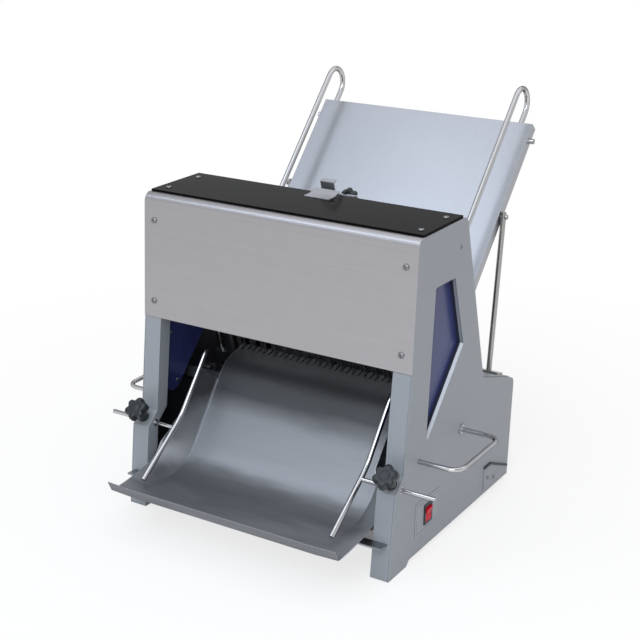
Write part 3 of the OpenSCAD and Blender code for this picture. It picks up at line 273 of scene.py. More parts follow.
class Finish(Nodes):
    """A material under way"""

    def __init__(self, name, constants=None):
        self.material = bpy.data.materials.new(name)
        self.material.use_nodes = True
        super().__init__(self.material.node_tree)
        self.shader = self.tree.nodes.new("ShaderNodeBsdfPrincipled")
        self.surface = Socket(self, self.shader.outputs[0])
        self.node("OutputMaterial", {}, {"Surface": self.surface})
        self.place = self.node("TexCoord", {}, {}, "Object")
        self.set(constants or {})

    def noise(self, scale, detail, stretch=(1, 1, 1)):
        """A noise value in the piece's own frame, stretched along its axes"""
        place = self.node("Mapping", {}, {"Vector": self.place, "Scale": stretch})
        return self.node("TexNoise", {}, {"Vector": place, "Scale": scale, "Detail": detail})

    def mix(self, share, first, second):
        """A colour between two others"""
        return self.node("Mix", {"data_type": "RGBA"}, {0: share, 6: first, 7: second}, 2)

    def axes(self):
        """The place on the piece as X, Y and Z"""
        return self.node("SeparateXYZ", {}, {0: self.place}, ("X", "Y", "Z"))

    def edge_wear_and_highlight(self, edge):
        """A value that is nothing on the flats and rises along the edges"""
        soft = self.node("Bevel", {"samples": 4}, {"Radius": edge})
        hard = self.node("NewGeometry", {}, {}, "Normal")
        facing = self.node("VectorMath", {"operation": "DOT_PRODUCT"}, {0: soft, 1: hard}, "Value")
        return ((1 - facing) * 5).held()

    def set(self, values):
        """Feeds the shader's sockets"""
        for key, value in values.items():
            self.feed(self.shader.inputs[key], value)

    def relief(self, height, distance, strength, edge=0.0):
        """Bump from a height, over edges softened by a radius"""
        inputs = {"Height": height, "Distance": distance, "Strength": strength}
        if edge:
            inputs["Normal"] = self.node("Bevel", {"samples": 4}, {"Radius": edge})
        self.set({"Normal": self.node("Bump", {}, inputs)})


def shade(colour, share):
    """The colour made darker or lighter by a share"""
    return tuple(min(1.0, part * share) for part in colour)


def finishes():
    """Colours and sizes that the user may change"""
    return bpy.context.scene.slicer_colours, bpy.context.scene.slicer_sizes


def enamel(name, colour, edge, inside=None, line=None):
    """Baked enamel with a faint orange-peel, pale edges that are partly wear and partly painted highlight,
    a painted shade on the inner face with a painted highlight on the windows' sills and a painted shadow
    inside their reveals, or a printed line
    """
    finish = Finish(name, {"IOR": 1.5})
    peel = finish.noise(420, 3)
    cloud = finish.noise(5, 3)
    speck = finish.noise(1600, 1)
    paint = finish.mix(cloud * 0.5 + speck * 0.3, shade(colour, 0.94), shade(colour, 1.05))
    # Pale edges: partly edge wear, partly a painted highlight where the edges catch the light
    paint = finish.mix(finish.edge_wear_and_highlight(edge * 1.5) * 0.35, paint, shade(colour, 1.5))
    x, y, z = finish.axes()
    if inside:
        # Painted highlight for the windows' sills and painted shadow for the inner part of their reveals
        painted_sill_highlight, painted_reveal_shadow = (0.86, 0.90, 0.95), (0.020, 0.022, 0.040)
        wall = abs(x)
        # Painted shade: the panels' inner face darkened to stand in for the shade inside the housing
        paint = finish.mix(wall.within(*INNER_FACE), paint, inside)
        way = finish.node("NewGeometry", {}, {}, "Normal")
        side, out, up = finish.node("SeparateXYZ", {}, {0: way}, ("X", "Y", "Z"))
        reveal = (abs(side) < 0.3) * wall.within(*REVEAL) * y.within(*WINDOW_Y) * z.within(*WINDOW_Z)
        # Painted highlight on the windows' lower reveals, where light catches them
        paint = finish.mix(reveal * (up > 0.15) * (out < -0.3), paint, painted_sill_highlight)
        # Painted shadow on the inner part of the windows' reveals
        paint = finish.mix(reveal * (wall < REVEAL_MIDDLE), paint, painted_reveal_shadow)
    if line:
        low, high, inset, width = line
        ink = (0.05, 0.045, 0.05)
        across = (high[1] - low[1]) / 2 - abs(y - (low[1] + high[1]) / 2)
        along = (high[2] - low[2]) / 2 - abs(z - (low[2] + high[2]) / 2)
        drawn = (across & along).within(inset, inset + width)
        paint = finish.mix(drawn * 0.7, paint, ink)
    finish.set({
        "Base Color": paint,
        "Roughness": cloud * 0.12 + peel * 0.10 + 0.32,
    })
    finish.relief(peel, 0.00010, 0.30, edge)
    return finish.material


def brushed(name, colour, along, edge, rough, depth=0.25, fine=2400):
    """Steel ground in long strokes along one axis of the piece"""
    finish = Finish(name, {"Metallic": 1.0})
    stretch = [1.0, 1.0, 1.0]
    stretch[along] = 0.004
    stroke = finish.noise(fine, 2, stretch)
    broad = finish.noise(fine * 0.12, 2, stretch)
    cloud = finish.noise(4, 2)
    smear = finish.noise(30, 4)
    tone = stroke * 0.45 + broad * 0.35 + smear * 0.2
    finish.set({
        "Base Color": finish.mix(tone, shade(colour, 0.84), shade(colour, 1.12)),
        "Roughness": stroke * 0.08 + cloud * 0.12 + smear * 0.05 + (rough - 0.12),
    })
    finish.relief(stroke * 0.7 + broad * 0.3, 0.00004, depth, edge)
    return finish.material


def polished(name, colour, rough):
    """Chromed or polished metal with faint wear, darker towards its rim"""
    finish = Finish(name, {"Metallic": 1.0, "Specular Tint": (0.10, 0.10, 0.11)})
    smear = finish.noise(35, 4)
    fine = finish.noise(700, 2)
    finish.set({
        "Base Color": finish.mix(smear, shade(colour, 0.90), shade(colour, 1.06)),
        "Roughness": smear * 0.10 + fine * 0.04 + (rough - 0.06),
    })
    finish.relief(fine, 0.00002, 0.06)
    return finish.material


def cast(name, colour, metallic, rough, size=300, depth=0.0002, edge=0.0, gloss=0.5):
    """Moulded, cast or rubbery stuff with a fine grain"""
    finish = Finish(name, {"Metallic": metallic, "Specular IOR Level": gloss})
    grain = finish.noise(size, 3)
    cloud = finish.noise(18, 3)
    finish.set({
        "Base Color": finish.mix(cloud * 0.6 + grain * 0.4, shade(colour, 0.84), shade(colour, 1.16)),
        "Roughness": grain * 0.14 + cloud * 0.08 + (rough - 0.11),
    })
    finish.relief(grain, depth, 0.4, edge)
    return finish.material


def coat(nodes, material):
    """Gives CAD solids their finish"""
    for name in nodes:
        piece = frame["nodes"][name]
        piece.data.materials.clear()
        piece.data.materials.append(material)


# Piece tools

def joint(name):
    """A joint's place and axis, from the frame"""
    found = next(row for row in frame["joints"] if row["name"] == name)
    return Vector(found["pos_m"]), Vector(found["axis"]).normalized()


def facing(place, axis):
    """A matrix that stands local Z on an axis at a place"""
    return Matrix.Translation(place) @ axis.to_track_quat("Z", "X").to_matrix().to_4x4()


def dress(name, form, material, body, nodes, sharp):
    """Makes a form an object that rides on a body and stands for CAD solids"""
    for face in form.faces:
        face.smooth = True
    for edge in form.edges:
        edge.smooth = edge.calc_face_angle(math.pi) < math.radians(sharp)
    mesh = bpy.data.meshes.new(name)
    form.to_mesh(mesh)
    form.free()
    mesh.materials.append(material)
    piece = bpy.data.objects.new(name, mesh)
    bpy.context.collection.objects.link(piece)
    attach(piece, body)
    if nodes:
        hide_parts(*nodes)


def merged(node):
    """A CAD solid's faces as one joined form"""
    form = bmesh.new()
    form.from_mesh(frame["nodes"][node].data)
    bmesh.ops.remove_doubles(form, verts=form.verts, dist=1e-6)
    return form


def shells(form):
    """The separate shells of a form, each a list of faces"""
    left = set(form.faces)
    found = []
    for first in form.faces:
        if first not in left:
            continue
        left.remove(first)
        shell = [first]
        for face in shell:
            for edge in face.edges:
                for near in edge.link_faces:
                    if near in left:
                        left.remove(near)
                        shell.append(near)
        found.append(shell)
    return found


def lathe(form, profile, segments, matrix):
    """Spins a line of (radius, height) points round local Z"""
    made = [form.verts.new(matrix @ Vector((radius, 0, height))) for radius, height in profile]
    edges = [form.edges.new(pair) for pair in zip(made, made[1:])]
    axis = (matrix.to_3x3() @ Vector((0, 0, 1))).normalized()
    before = set(form.faces)
    bmesh.ops.spin(
        form, geom=made + edges, cent=matrix.translation, axis=axis, angle=2 * math.pi,
        steps=segments, use_merge=True, use_duplicate=False,
    )
    bmesh.ops.remove_doubles(form, verts=form.verts, dist=2e-6)
    new = [face for face in form.faces if face not in before]
    bmesh.ops.recalc_face_normals(form, faces=new)


def carve(form, cutter):
    """One form with another cut out of it"""
    pieces = []
    for shape in (form, cutter):
        mesh = bpy.data.meshes.new("carving")
        shape.to_mesh(mesh)
        shape.free()
        pieces.append(bpy.data.objects.new("carving", mesh))
        bpy.context.collection.objects.link(pieces[-1])
    cut = pieces[0].modifiers.new("cut", "BOOLEAN")
    cut.operation = "DIFFERENCE"
    cut.solver = "EXACT"
    cut.object = pieces[1]
    result = bmesh.new()
    result.from_object(pieces[0], bpy.context.evaluated_depsgraph_get())
    for piece in pieces:
        mesh = piece.data
        bpy.data.objects.remove(piece)
        bpy.data.meshes.remove(mesh)
    return result


def stamp(form, mesh, matrix):
    """Adds a copy of a mesh to a form at a place"""
    before = set(form.verts)
    form.from_mesh(mesh)
    new = [vert for vert in form.verts if vert not in before]
    bmesh.ops.transform(form, matrix=matrix, verts=new)


def follow(start, slope, runs, distance):
    """Point and slope at a distance along straight runs and bends, each (length, bend)"""
    place = Vector(start)
    for length, bend in runs:
        step = min(distance, length)
        if bend:
            turned = slope + step * bend
            step_along = math.sin(turned) - math.sin(slope)
            step_up = math.cos(slope) - math.cos(turned)
            place += Vector((step_along, step_up)) / bend
            slope = turned
        else:
            place += step * Vector((math.cos(slope), math.sin(slope)))
        distance -= step
        if distance <= 0:
            break
    return place, slope


# Operators

class SLICER_OT_housing(bpy.types.Operator):
    """Enamels the housing's panels"""

    bl_idname = "slicer.housing"
    bl_label = "Housing"

    # Painted shade: a near-black colour for the panels' inner face, standing in for the dark inside of the
    # housing
    painted_inside_shade = (0.012, 0.013, 0.016)
    line_inset = 0.004
    line_width = 0.0011

    def execute(self, context):
        colours, sizes = finishes()
        coat(
            ["left_side_panel", "right_side_panel"],
            enamel("panel enamel", colours.panel, sizes.edge, self.painted_inside_shade),
        )
        coat(
            ["base_plate", "rear_header", "rear_deck", "rear_cover", "inlet_plate"],
            enamel("grey enamel", colours.panel, sizes.edge),
        )
        low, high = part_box("switch_plate")
        line = (low, high, self.line_inset, self.line_width)
        coat(["switch_plate"], enamel("plate enamel", shade(colours.panel, 1.08), 0.0004, None, line))
        coat(["crumb_drawer"], brushed("drawer steel", shade(colours.stainless, 0.9), 0, sizes.edge, 0.36))
        return {"FINISHED"}


class SLICER_OT_covers(bpy.types.Operator):
    """Grinds the front cover, tints the top cover and the windows"""

    bl_idname = "slicer.covers"
    bl_label = "Covers and windows"

    def execute(self, context):
        colours, sizes = finishes()
        coat(["front_cover"], brushed("cover steel", colours.stainless, 0, sizes.edge, 0.35))
        smoke = Finish("smoked acrylic", {"Specular IOR Level": 0.015})
        dust = smoke.noise(60, 5)
        haze = smoke.noise(5, 2)
        smoke.set({
            "Base Color": smoke.mix(dust, shade(colours.smoke, 0.7), shade(colours.smoke, 1.5)),
            "Roughness": dust * 0.04 + haze * 0.06 + 0.02,
        })
        coat(["top_cover"], smoke.material)
        blue = Finish("window blue", {"Specular IOR Level": 0.3})
        tone_shift = blue.noise(40, 4)
        grain = blue.noise(600, 2)
        blue.set({
            "Base Color": blue.mix(tone_shift, shade(colours.window, 0.85), shade(colours.window, 1.15)),
            "Roughness": tone_shift * 0.10 + grain * 0.06 + 0.14,
        })
        blue.relief(grain, 0.00003, 0.3)
        coat(["left_window_panel", "right_window_panel"], blue.material)
        return {"FINISHED"}


class SLICER_OT_chute(bpy.types.Operator):
    """Rolls the outfeed chute with its lip, comb and rising sides"""

    bl_idname = "slicer.chute"
    bl_label = "Outfeed chute"

    lip_top = (-0.104816 - MIDDLE, 0.093189)
    lip_slope = math.radians(-63.5)
    lip_back = -0.3615
    runs = (
        (0.020241, 0.0), (0.003182, 1 / 0.003), (0.107928, 0.0), (0.087400, 1 / 0.090),
        (0.138833, 0.0), (0.040250, -1 / 0.060), (0.043115, 0.0),
    )
    lip_run = 0.021664
    lip_rows = (0.008, 0.016, 0.0202, 0.0210, 0.0218, 0.0226, 0.0234)
    floor_start = 0.0275
    floor_rows = 100
    least_row = 0.0012
    crease = 0.188
    crease_inner = 0.1868
    fold_half = 0.0011
    fold_low = 0.092
    wing_side = 0.231
    wing_turn = 0.227087
    wing_run = 0.322037
    wing_degrees = (2, 72)
    wing_curve = 1.6
    wing_height = 0.058
    wing_fall = 0.013
    wing_shares = (0.02, 0.05, 0.15, 0.3, 0.45, 0.6, 0.75, 0.9, 1.0)
    slot_run = 0.018
    slot_half = 0.002
    pitch = 0.012
    slots = 31
    sheet = 0.0015
    # Painted shade and highlight by height: the chute's colour is lifted by a constant share, then
    # multiplied by a ramp of (height, share) stops, darker near the comb under the cover's shadow and
    # brighter on the middle bend
    sheen = 1.4
    painted_light_low = 0.060
    painted_light_span = 0.200
    tone_shift = (
        (0.072, 0.90), (0.085, 1.32), (0.158, 1.18), (0.191, 0.42), (0.222, 0.50), (0.245, 0.34),
    )

    def wing(self, run):
        """Angle and height of a rising side at a distance from the lip's bend"""
        least, swing = self.wing_degrees
        angle = math.radians(least + swing * min(1.0, max(0.0, run / self.wing_turn)) ** self.wing_curve)
        fall = max(0.0, (run - self.wing_turn) / (self.wing_run - self.wing_turn))
        height = self.wing_height - self.wing_fall * fall
        return angle, min((self.wing_side - self.crease) / math.cos(angle), height)

    def point(self, distance, x, rise):
        """A place on the sheet: along the runs, across, and up the rising side by a share"""
        place, slope = follow(self.lip_top, self.lip_slope, self.runs, distance)
        if rise == 0:
            return Vector((x, *place))
        angle, height = self.wing(distance - self.lip_run)
        reach = height * rise
        up = Vector((-math.sin(slope), math.cos(slope))) * reach * math.sin(angle)
        return Vector((x + math.copysign(reach * math.cos(angle), x), *(place + up)))

    def execute(self, context):
        colours, sizes = finishes()
        form = self.roll()
        steel = self.steel(colours.chute, sizes.edge)
        dress("chute_sheet", form, steel, "machine", ["outfeed_chute"], 50)
        return {"FINISHED"}

    def roll(self):
        """The sheet, extruded row by row from the lip to the comb"""
        shares = self.wing_shares
        middles = [(step - (self.slots - 1) / 2) * self.pitch for step in range(self.slots)]
        columns = [(-self.crease, share) for share in reversed(shares)]
        columns += [(-self.crease, 0), (-self.crease_inner, 0)]
        gaps = set()
        for middle in middles:
            gaps.add(len(columns))
            columns += [(middle - self.slot_half, 0), (middle + self.slot_half, 0)]
        columns += [(self.crease_inner, 0), (self.crease, 0)]
        columns += [(self.crease, share) for share in shares]
        floor = range(len(shares), len(columns) - len(shares))
        form = bmesh.new()
        layer = form.verts.layers.int.new("column")
        row = [form.verts.new(self.point(0, *column)) for column in columns]
        for index, vert in enumerate(row):
            vert[layer] = index
        edges = [form.edges.new(pair) for pair in zip(row, row[1:])]
        total = sum(length for length, bend in self.runs)
        for distance in self.rows(total):
            edges = [edge for edge in edges if self.kept(edge, layer, floor, gaps, distance, total)]
            made = bmesh.ops.extrude_edge_only(form, edges=edges)["geom"]
            edges = [item for item in made if isinstance(item, bmesh.types.BMEdge)]
            for vert in made:
                if isinstance(vert, bmesh.types.BMVert):
                    vert.co = self.point(distance, *columns[vert[layer]])
        bmesh.ops.recalc_face_normals(form, faces=form.faces)
        if sum(face.normal.z * face.calc_area() for face in form.faces) < 0:
            bmesh.ops.reverse_faces(form, faces=form.faces)
        bmesh.ops.solidify(form, geom=form.faces[:], thickness=self.sheet)
        return form

    def rows(self, total):
        """Distances of the rows from the lip's top edge"""
        found = {*self.lip_rows, self.lip_run + self.wing_run, total - self.slot_run, total}
        for step in range(self.floor_rows):
            value = self.floor_start + (total - self.floor_start) * step / self.floor_rows
            if min(abs(value - other) for other in found) > self.least_row:
                found.add(value)
        return sorted(found)

    def kept(self, edge, layer, floor, gaps, distance, total):
        """Whether an edge of the last row goes on to the next one"""
        low, high = sorted(vert[layer] for vert in edge.verts)
        if low not in floor or high not in floor:
            return distance <= self.lip_run + self.wing_run + 1e-6
        return low not in gaps or distance <= total - self.slot_run + 1e-6

    def steel(self, colour, edge):
        """Ground steel with painted shade and highlight that change with height, a painted reflection that
        darkens the lip, a painted highlight along the folds, and pale edges that are partly wear and partly
        painted highlight
        """
        finish = Finish("chute steel", {"Metallic": 0.9})
        stroke = finish.noise(1500, 2, (0.006, 1, 1))
        smear = finish.noise(9, 4, (0.35, 1, 1))
        scuff = finish.noise(60, 5, (0.2, 1, 1))
        tone = stroke * 0.25 + smear * 0.45 + scuff * 0.3
        x, y, z = finish.axes()
        steel = finish.mix(tone, shade(colour, 0.70 * self.sheen), shade(colour, 1.30 * self.sheen))
        # Painted shade and highlight: the base colour darkened and lightened by height along the ramp
        drift = smear * 0.16 + scuff * 0.08 - 0.12
        level = (z - self.painted_light_low) * (1 / self.painted_light_span) + drift
        stops = [
            ((height - self.painted_light_low) / self.painted_light_span, (share / self.sheen,) * 3)
            for height, share in self.tone_shift
        ]
        tone_shift = finish.node("ValToRGB", {"stops": stops}, {0: level})
        both = {"data_type": "RGBA", "blend_type": "MULTIPLY"}
        steel = finish.node("Mix", both, {0: 1.0, 6: steel, 7: tone_shift}, 2)
        # Painted reflection: the lip's outer face darkened to stand in for the dark surroundings that it
        # reflects
        steel = finish.mix((y < self.lip_back) * 0.6, steel, shade(colour, 0.5))
        # Painted highlight along the folds between the floor and the rising sides
        painted_fold_highlight = abs(abs(x) - self.crease) < self.fold_half
        steel = finish.mix(painted_fold_highlight * (z > self.fold_low) * 0.6, steel, shade(colour, 2.0))
        # Pale edges: partly wear, partly a painted highlight on the lip's rim
        finish.set({
            "Base Color": finish.mix(finish.edge_wear_and_highlight(edge) * 0.5, steel, shade(colour, 2.2)),
            "Roughness": stroke * 0.06 + smear * 0.20 + scuff * 0.08 + 0.36,
        })
        finish.relief(stroke * 0.6 + scuff * 0.4, 0.00005, 0.2)
        return finish.material


class SLICER_OT_tray(bpy.types.Operator):
    """Grinds the infeed tray, the hold-down and its clip"""

    bl_idname = "slicer.tray"
    bl_label = "Tray and hold-down"

    def execute(self, context):
        colours, sizes = finishes()
        coat(["infeed_tray"], brushed("tray steel", colours.tray, 1, sizes.edge, 0.34, 0.15))
        coat(
            ["hold_down", "hold_down_clip"],
            brushed("tab steel", shade(colours.tray, 1.2), 0, 0.0004, 0.42),
        )
        return {"FINISHED"}


class SLICER_OT_plastics(bpy.types.Operator):
    """Moulds the switch, the strip, the feet and the belt"""

    bl_idname = "slicer.plastics"
    bl_label = "Plastics"

    def execute(self, context):
        colours = context.scene.slicer_colours
        coat(["switch_housing"], cast("black housing", colours.knob, 0.0, 0.34, 450, 0.0001, 0.0005))
        coat(["switch_rocker"], cast("red rocker", colours.rocker, 0.0, 0.40, 300, 0.00002, 0.0006, 0.15))
        coat(
            ["inlet_edge_strip"],
            cast("black strip", shade(colours.knob, 1.4), 0.0, 0.5, 300, 0.0002, 0.0005),
        )
        coat(["rear_feet"], cast("black rubber", shade(colours.knob, 1.8), 0.0, 0.75))
        coat(["drive_belt"], cast("belt rubber", shade(colours.knob, 1.5), 0.0, 0.7))
        return {"FINISHED"}


class SLICER_OT_knobs(bpy.types.Operator):
    """Moulds the star knobs"""

    bl_idname = "slicer.knobs"
    bl_label = "Star knobs"

    rise = (
        (0.80, 0.0), (0.93, 0.05), (0.985, 0.14), (1.0, 0.30), (1.0, 0.60), (0.985, 0.76),
        (0.93, 0.90), (0.84, 0.98), (0.74, 1.0), (0.58, 0.985),
    )
    lobes = 6
    dip = 0.25
    dip_curve = 1.5
    cap_share = 0.46
    cap_rise = ((0, 0.0012), (0.6, 0.0011), (0.9, 0.0006), (1, -0.0008), (0, -0.0008))
    chamfer = 0.0008
    flare = 0.004
    sunk = 0.001

    def execute(self, context):
        colours, sizes = finishes()
        black = cast("knob plastic", colours.knob, 0.0, 0.36, 450, 0.0001)
        for side in ("left", "right"):
            self.mould(f"{side}_guide_knob", f"{side}_knob_turn", black, sizes.knob, 0.016, 0.022, 0.020)
        self.mould("hold_down_knob", "hold_down_knob_turn", black, sizes.small_knob, 0.013, 0.006, 0.0156)
        return {"FINISHED"}

    def mould(self, node, turn, material, width, height, neck, neck_width):
        """A lobed head on its neck, with a round cap"""
        matrix = facing(*joint(turn))
        form = bmesh.new()
        half = width / 2
        ring = bmesh.ops.create_circle(form, segments=96, radius=half)["verts"]
        edges = list(form.edges)
        for step, (share, level) in enumerate(self.rise):
            if step:
                made = bmesh.ops.extrude_edge_only(form, edges=edges)["geom"]
                ring = [item for item in made if isinstance(item, bmesh.types.BMVert)]
                edges = [item for item in made if isinstance(item, bmesh.types.BMEdge)]
            for vert in ring:
                turn_at = math.atan2(vert.co.y, vert.co.x)
                lobed = 1 - self.dip * (0.5 - 0.5 * math.cos(self.lobes * turn_at)) ** self.dip_curve
                reach = half * share * lobed
                vert.co = (reach * math.cos(turn_at), reach * math.sin(turn_at), neck + level * height)
        bmesh.ops.holes_fill(form, edges=edges, sides=0)
        bottom = [edge for edge in form.edges if edge.is_boundary]
        bmesh.ops.holes_fill(form, edges=bottom, sides=0)
        bmesh.ops.transform(form, matrix=matrix, verts=form.verts)
        bmesh.ops.recalc_face_normals(form, faces=form.faces)
        cap = half * self.cap_share
        top = neck + height
        lathe(form, [(cap * share, top + level) for share, level in self.cap_rise], 48, matrix)
        low = neck_width / 2
        profile = [
            (0, 0.0), (low * 0.94, 0.0), (low, self.chamfer), (low, neck - self.flare),
            (low * 1.12, neck + self.sunk), (0, neck + self.sunk),
        ]
        lathe(form, profile, 48, matrix)
        dress(node + "_head", form, material, node, [node], 40)


class SLICER_OT_screws(bpy.types.Operator):
    """Turns the cross-head screws of the covers and windows, and the rivets of the panels"""

    bl_idname = "slicer.screws"
    bl_label = "Screws and rivets"

    kinds = (
        ("cover_screws", 0.011, 0.003, 0.010),
        ("small_screws", 0.007, 0.002, 0.005),
    )
    dome = ((0, 1), (0.45, 0.97), (0.74, 0.82), (0.92, 0.52), (1, 0.16), (1, 0))
    shank = 0.45
    cross = (1.2, 0.26, 1.1)
    cross_turn = 0.4
    rivet_place = (0.2700, -0.0433, 0.5180)
    rivet_rise = ((0, 0.30), (0.4, 0.28), (0.75, 0.18), (1, 0.0))
    rivet_sunk = 0.0004

    def execute(self, context):
        colours, sizes = finishes()
        zinc = polished("zinc", shade(colours.chrome, 0.48), 0.34)
        for node, width, height, length in self.kinds:
            head = self.head(width / 2, height, length)
            solids = merged(node)
            form = bmesh.new()
            for shell in shells(solids):
                place, out = self.seat(shell)
                stamp(form, head, facing(place - out * height, out))
            solids.free()
            bpy.data.meshes.remove(head)
            dress(node.replace("screws", "screw_heads"), form, zinc, "machine", [node], 40)
        dress("panel_rivets", self.rivets(sizes.rivet / 2), zinc, "machine", [], 40)
        return {"FINISHED"}

    def rivets(self, half):
        """A low domed rivet on each side panel"""
        form = bmesh.new()
        profile = [(half * share, half * level) for share, level in self.rivet_rise]
        profile += [(half, -self.rivet_sunk), (0, -self.rivet_sunk)]
        out, along, up = self.rivet_place
        for side in (-1, 1):
            lathe(form, profile, 32, facing(Vector((side * out, along, up)), Vector((side, 0, 0))))
        return form

    def head(self, half, height, length):
        """A domed head with a cross in it, on its shank"""
        form = bmesh.new()
        profile = [(half * share, height * level) for share, level in self.dome]
        profile += [(half * self.shank, 0), (half * self.shank, -length), (0, -length)]
        lathe(form, profile, 40, Matrix())
        long, wide, deep = self.cross
        for turn in (0, math.pi / 2):
            bar = bmesh.new()
            bmesh.ops.create_cube(bar, size=1)
            bmesh.ops.scale(bar, vec=(half * long, half * wide, height * deep), verts=bar.verts)
            turned = Matrix.Rotation(turn + self.cross_turn, 3, "Z")
            bmesh.ops.rotate(bar, cent=(0, 0, 0), matrix=turned, verts=bar.verts)
            bmesh.ops.translate(bar, vec=(0, 0, height), verts=bar.verts)
            form = carve(form, bar)
        mesh = bpy.data.meshes.new("screw")
        form.to_mesh(mesh)
        form.free()
        return mesh

    def seat(self, shell):
        """Middle of a screw's outer face and the way that it looks"""
        sums = {}
        for face in shell:
            key = tuple(round(part, 2) for part in face.normal)
            sums[key] = sums.get(key, Vector()) + face.normal * face.calc_area()
        out = -max(sums.values(), key=lambda total: total.length).normalized()
        places = {vert.index: vert.co for face in shell for vert in face.verts}.values()
        top = max(place.dot(out) for place in places)
        rim = [place for place in places if place.dot(out) > top - 1e-5]
        return sum(rim, Vector()) / len(rim), out


class SLICER_OT_blades(bpy.types.Operator):
    """Grinds the scalloped blades"""

    bl_idname = "slicer.blades"
    bl_label = "Blades"

    foot = (0, 0.25234 - MIDDLE, 0.223295)
    lean = Matrix.Translation(foot) @ Matrix.Rotation(math.radians(16), 4, "X")
    clear = 0.030
    grind = 0.004
    thin = 0.15
    steps = 6

    def execute(self, context):
        colours, sizes = finishes()
        steel = polished("blade steel", shade(colours.chrome, 1.2), 0.20)
        for side in ("front", "rear"):
            node = f"{side}_blades"
            places = [self.lean.inverted() @ vert.co for vert in frame["nodes"][node].data.vertices]
            faces = sorted({round(place.x, 5) for place in places})
            spine, edge = (limit(place.y for place in places) for limit in (min, max))
            low, high = (limit(place.z for place in places) for limit in (min, max))
            blade = self.grow(faces[1] - faces[0], spine, edge, low, high, sizes)
            form = bmesh.new()
            for left, right in zip(faces[::2], faces[1::2]):
                stamp(form, blade, self.lean @ Matrix.Translation(((left + right) / 2, 0, 0)))
            bpy.data.meshes.remove(blade)
            dress(f"{side}_blade_set", form, steel, f"{side}_frame", [node], 30)
        return {"FINISHED"}

    def grow(self, thick, spine, edge, low, high, sizes):
        """One blade, with a ground and scalloped cutting edge"""
        teeth = int((high - low - 2 * self.clear) / sizes.tooth)
        rows = teeth * self.steps + 2
        form = bmesh.new()
        bmesh.ops.create_grid(form, x_segments=2, y_segments=rows, size=0.5)
        for vert in form.verts:
            column = round(vert.co.x * 2)
            row = round((vert.co.y + 0.5) * rows)
            share = min(1.0, max(0.0, (row - 1) / (rows - 2)))
            along = low + self.clear + share * (high - low - 2 * self.clear)
            along = low if row == 0 else high if row == rows else along
            bite = sizes.bite * abs(math.sin(math.pi * (row - 1) / self.steps)) if 0 < row < rows else 0.0
            across = (spine, edge - self.grind, edge - bite)[column + 1]
            vert.co = (0, across, along)
        bmesh.ops.recalc_face_normals(form, faces=form.faces)
        bmesh.ops.solidify(form, geom=form.faces[:], thickness=thick)
        outer = max(vert.co.x for vert in form.verts)
        inner = min(vert.co.x for vert in form.verts)
        for vert in form.verts:
            level = vert.co.x - (inner + outer) / 2
            level = math.copysign(thick / 2, level)
            vert.co.x = level * (self.thin if vert.co.y > edge - self.grind * 0.75 else 1.0)
        bmesh.ops.recalc_face_normals(form, faces=form.faces)
        mesh = bpy.data.meshes.new("blade")
        form.to_mesh(mesh)
        form.free()
        return mesh


class SLICER_OT_rods(bpy.types.Operator):
    """Chromes the rods, handles, shafts and small fittings"""

    bl_idname = "slicer.rods"
    bl_label = "Rods and fittings"

    def execute(self, context):
        colours = context.scene.slicer_colours
        coat(
            ["left_guide", "right_guide", "rail_cross_rod", "left_rail", "right_rail", "left_handle",
             "right_handle", "guide_shafts"],
            polished("chrome", colours.chrome, 0.10),
        )
        coat(
            ["left_strut", "right_strut"],
            brushed("strut steel", (0.42, 0.41, 0.40), 2, 0.0005, 0.34, 0.2, 1200),
        )
        coat(
            ["strut_bolts", "handle_nuts", "handle_washers", "guide_bushes", "wrist_pins_front",
             "wrist_pins_rear"],
            polished("satin steel", shade(colours.chrome, 1.07), 0.24),
        )
        coat(["chute_brackets"], brushed("bracket steel", (0.30, 0.31, 0.33), 0, 0.0006, 0.34))
        return {"FINISHED"}


class SLICER_OT_drive(bpy.types.Operator):
    """Finishes the frames, crank, rods, pulleys and motor"""

    bl_idname = "slicer.drive"
    bl_label = "Drive"

    def execute(self, context):
        colours = context.scene.slicer_colours
        coat(
            ["chute_bar", "tray_bar", "front_blade_frame", "rear_blade_frame", "shaft_brackets",
             "crank_bearings", "left_connecting_rod", "right_connecting_rod"],
            cast("dark steel", (0.16, 0.165, 0.17), 1.0, 0.42, 300, 0.0002, 0.0006),
        )
        coat(["crankshaft", "motor_shaft"], polished("turned steel", colours.chrome, 0.22))
        coat(
            ["crank_discs", "crank_pulley", "motor_pulley"],
            cast("cast iron", (0.36, 0.36, 0.37), 1.0, 0.40, 260, 0.0003, 0.0008),
        )
        coat(["motor"], cast("motor enamel", (0.05, 0.07, 0.09), 0.0, 0.45, 260, 0.0003, 0.0010))
        return {"FINISHED"}


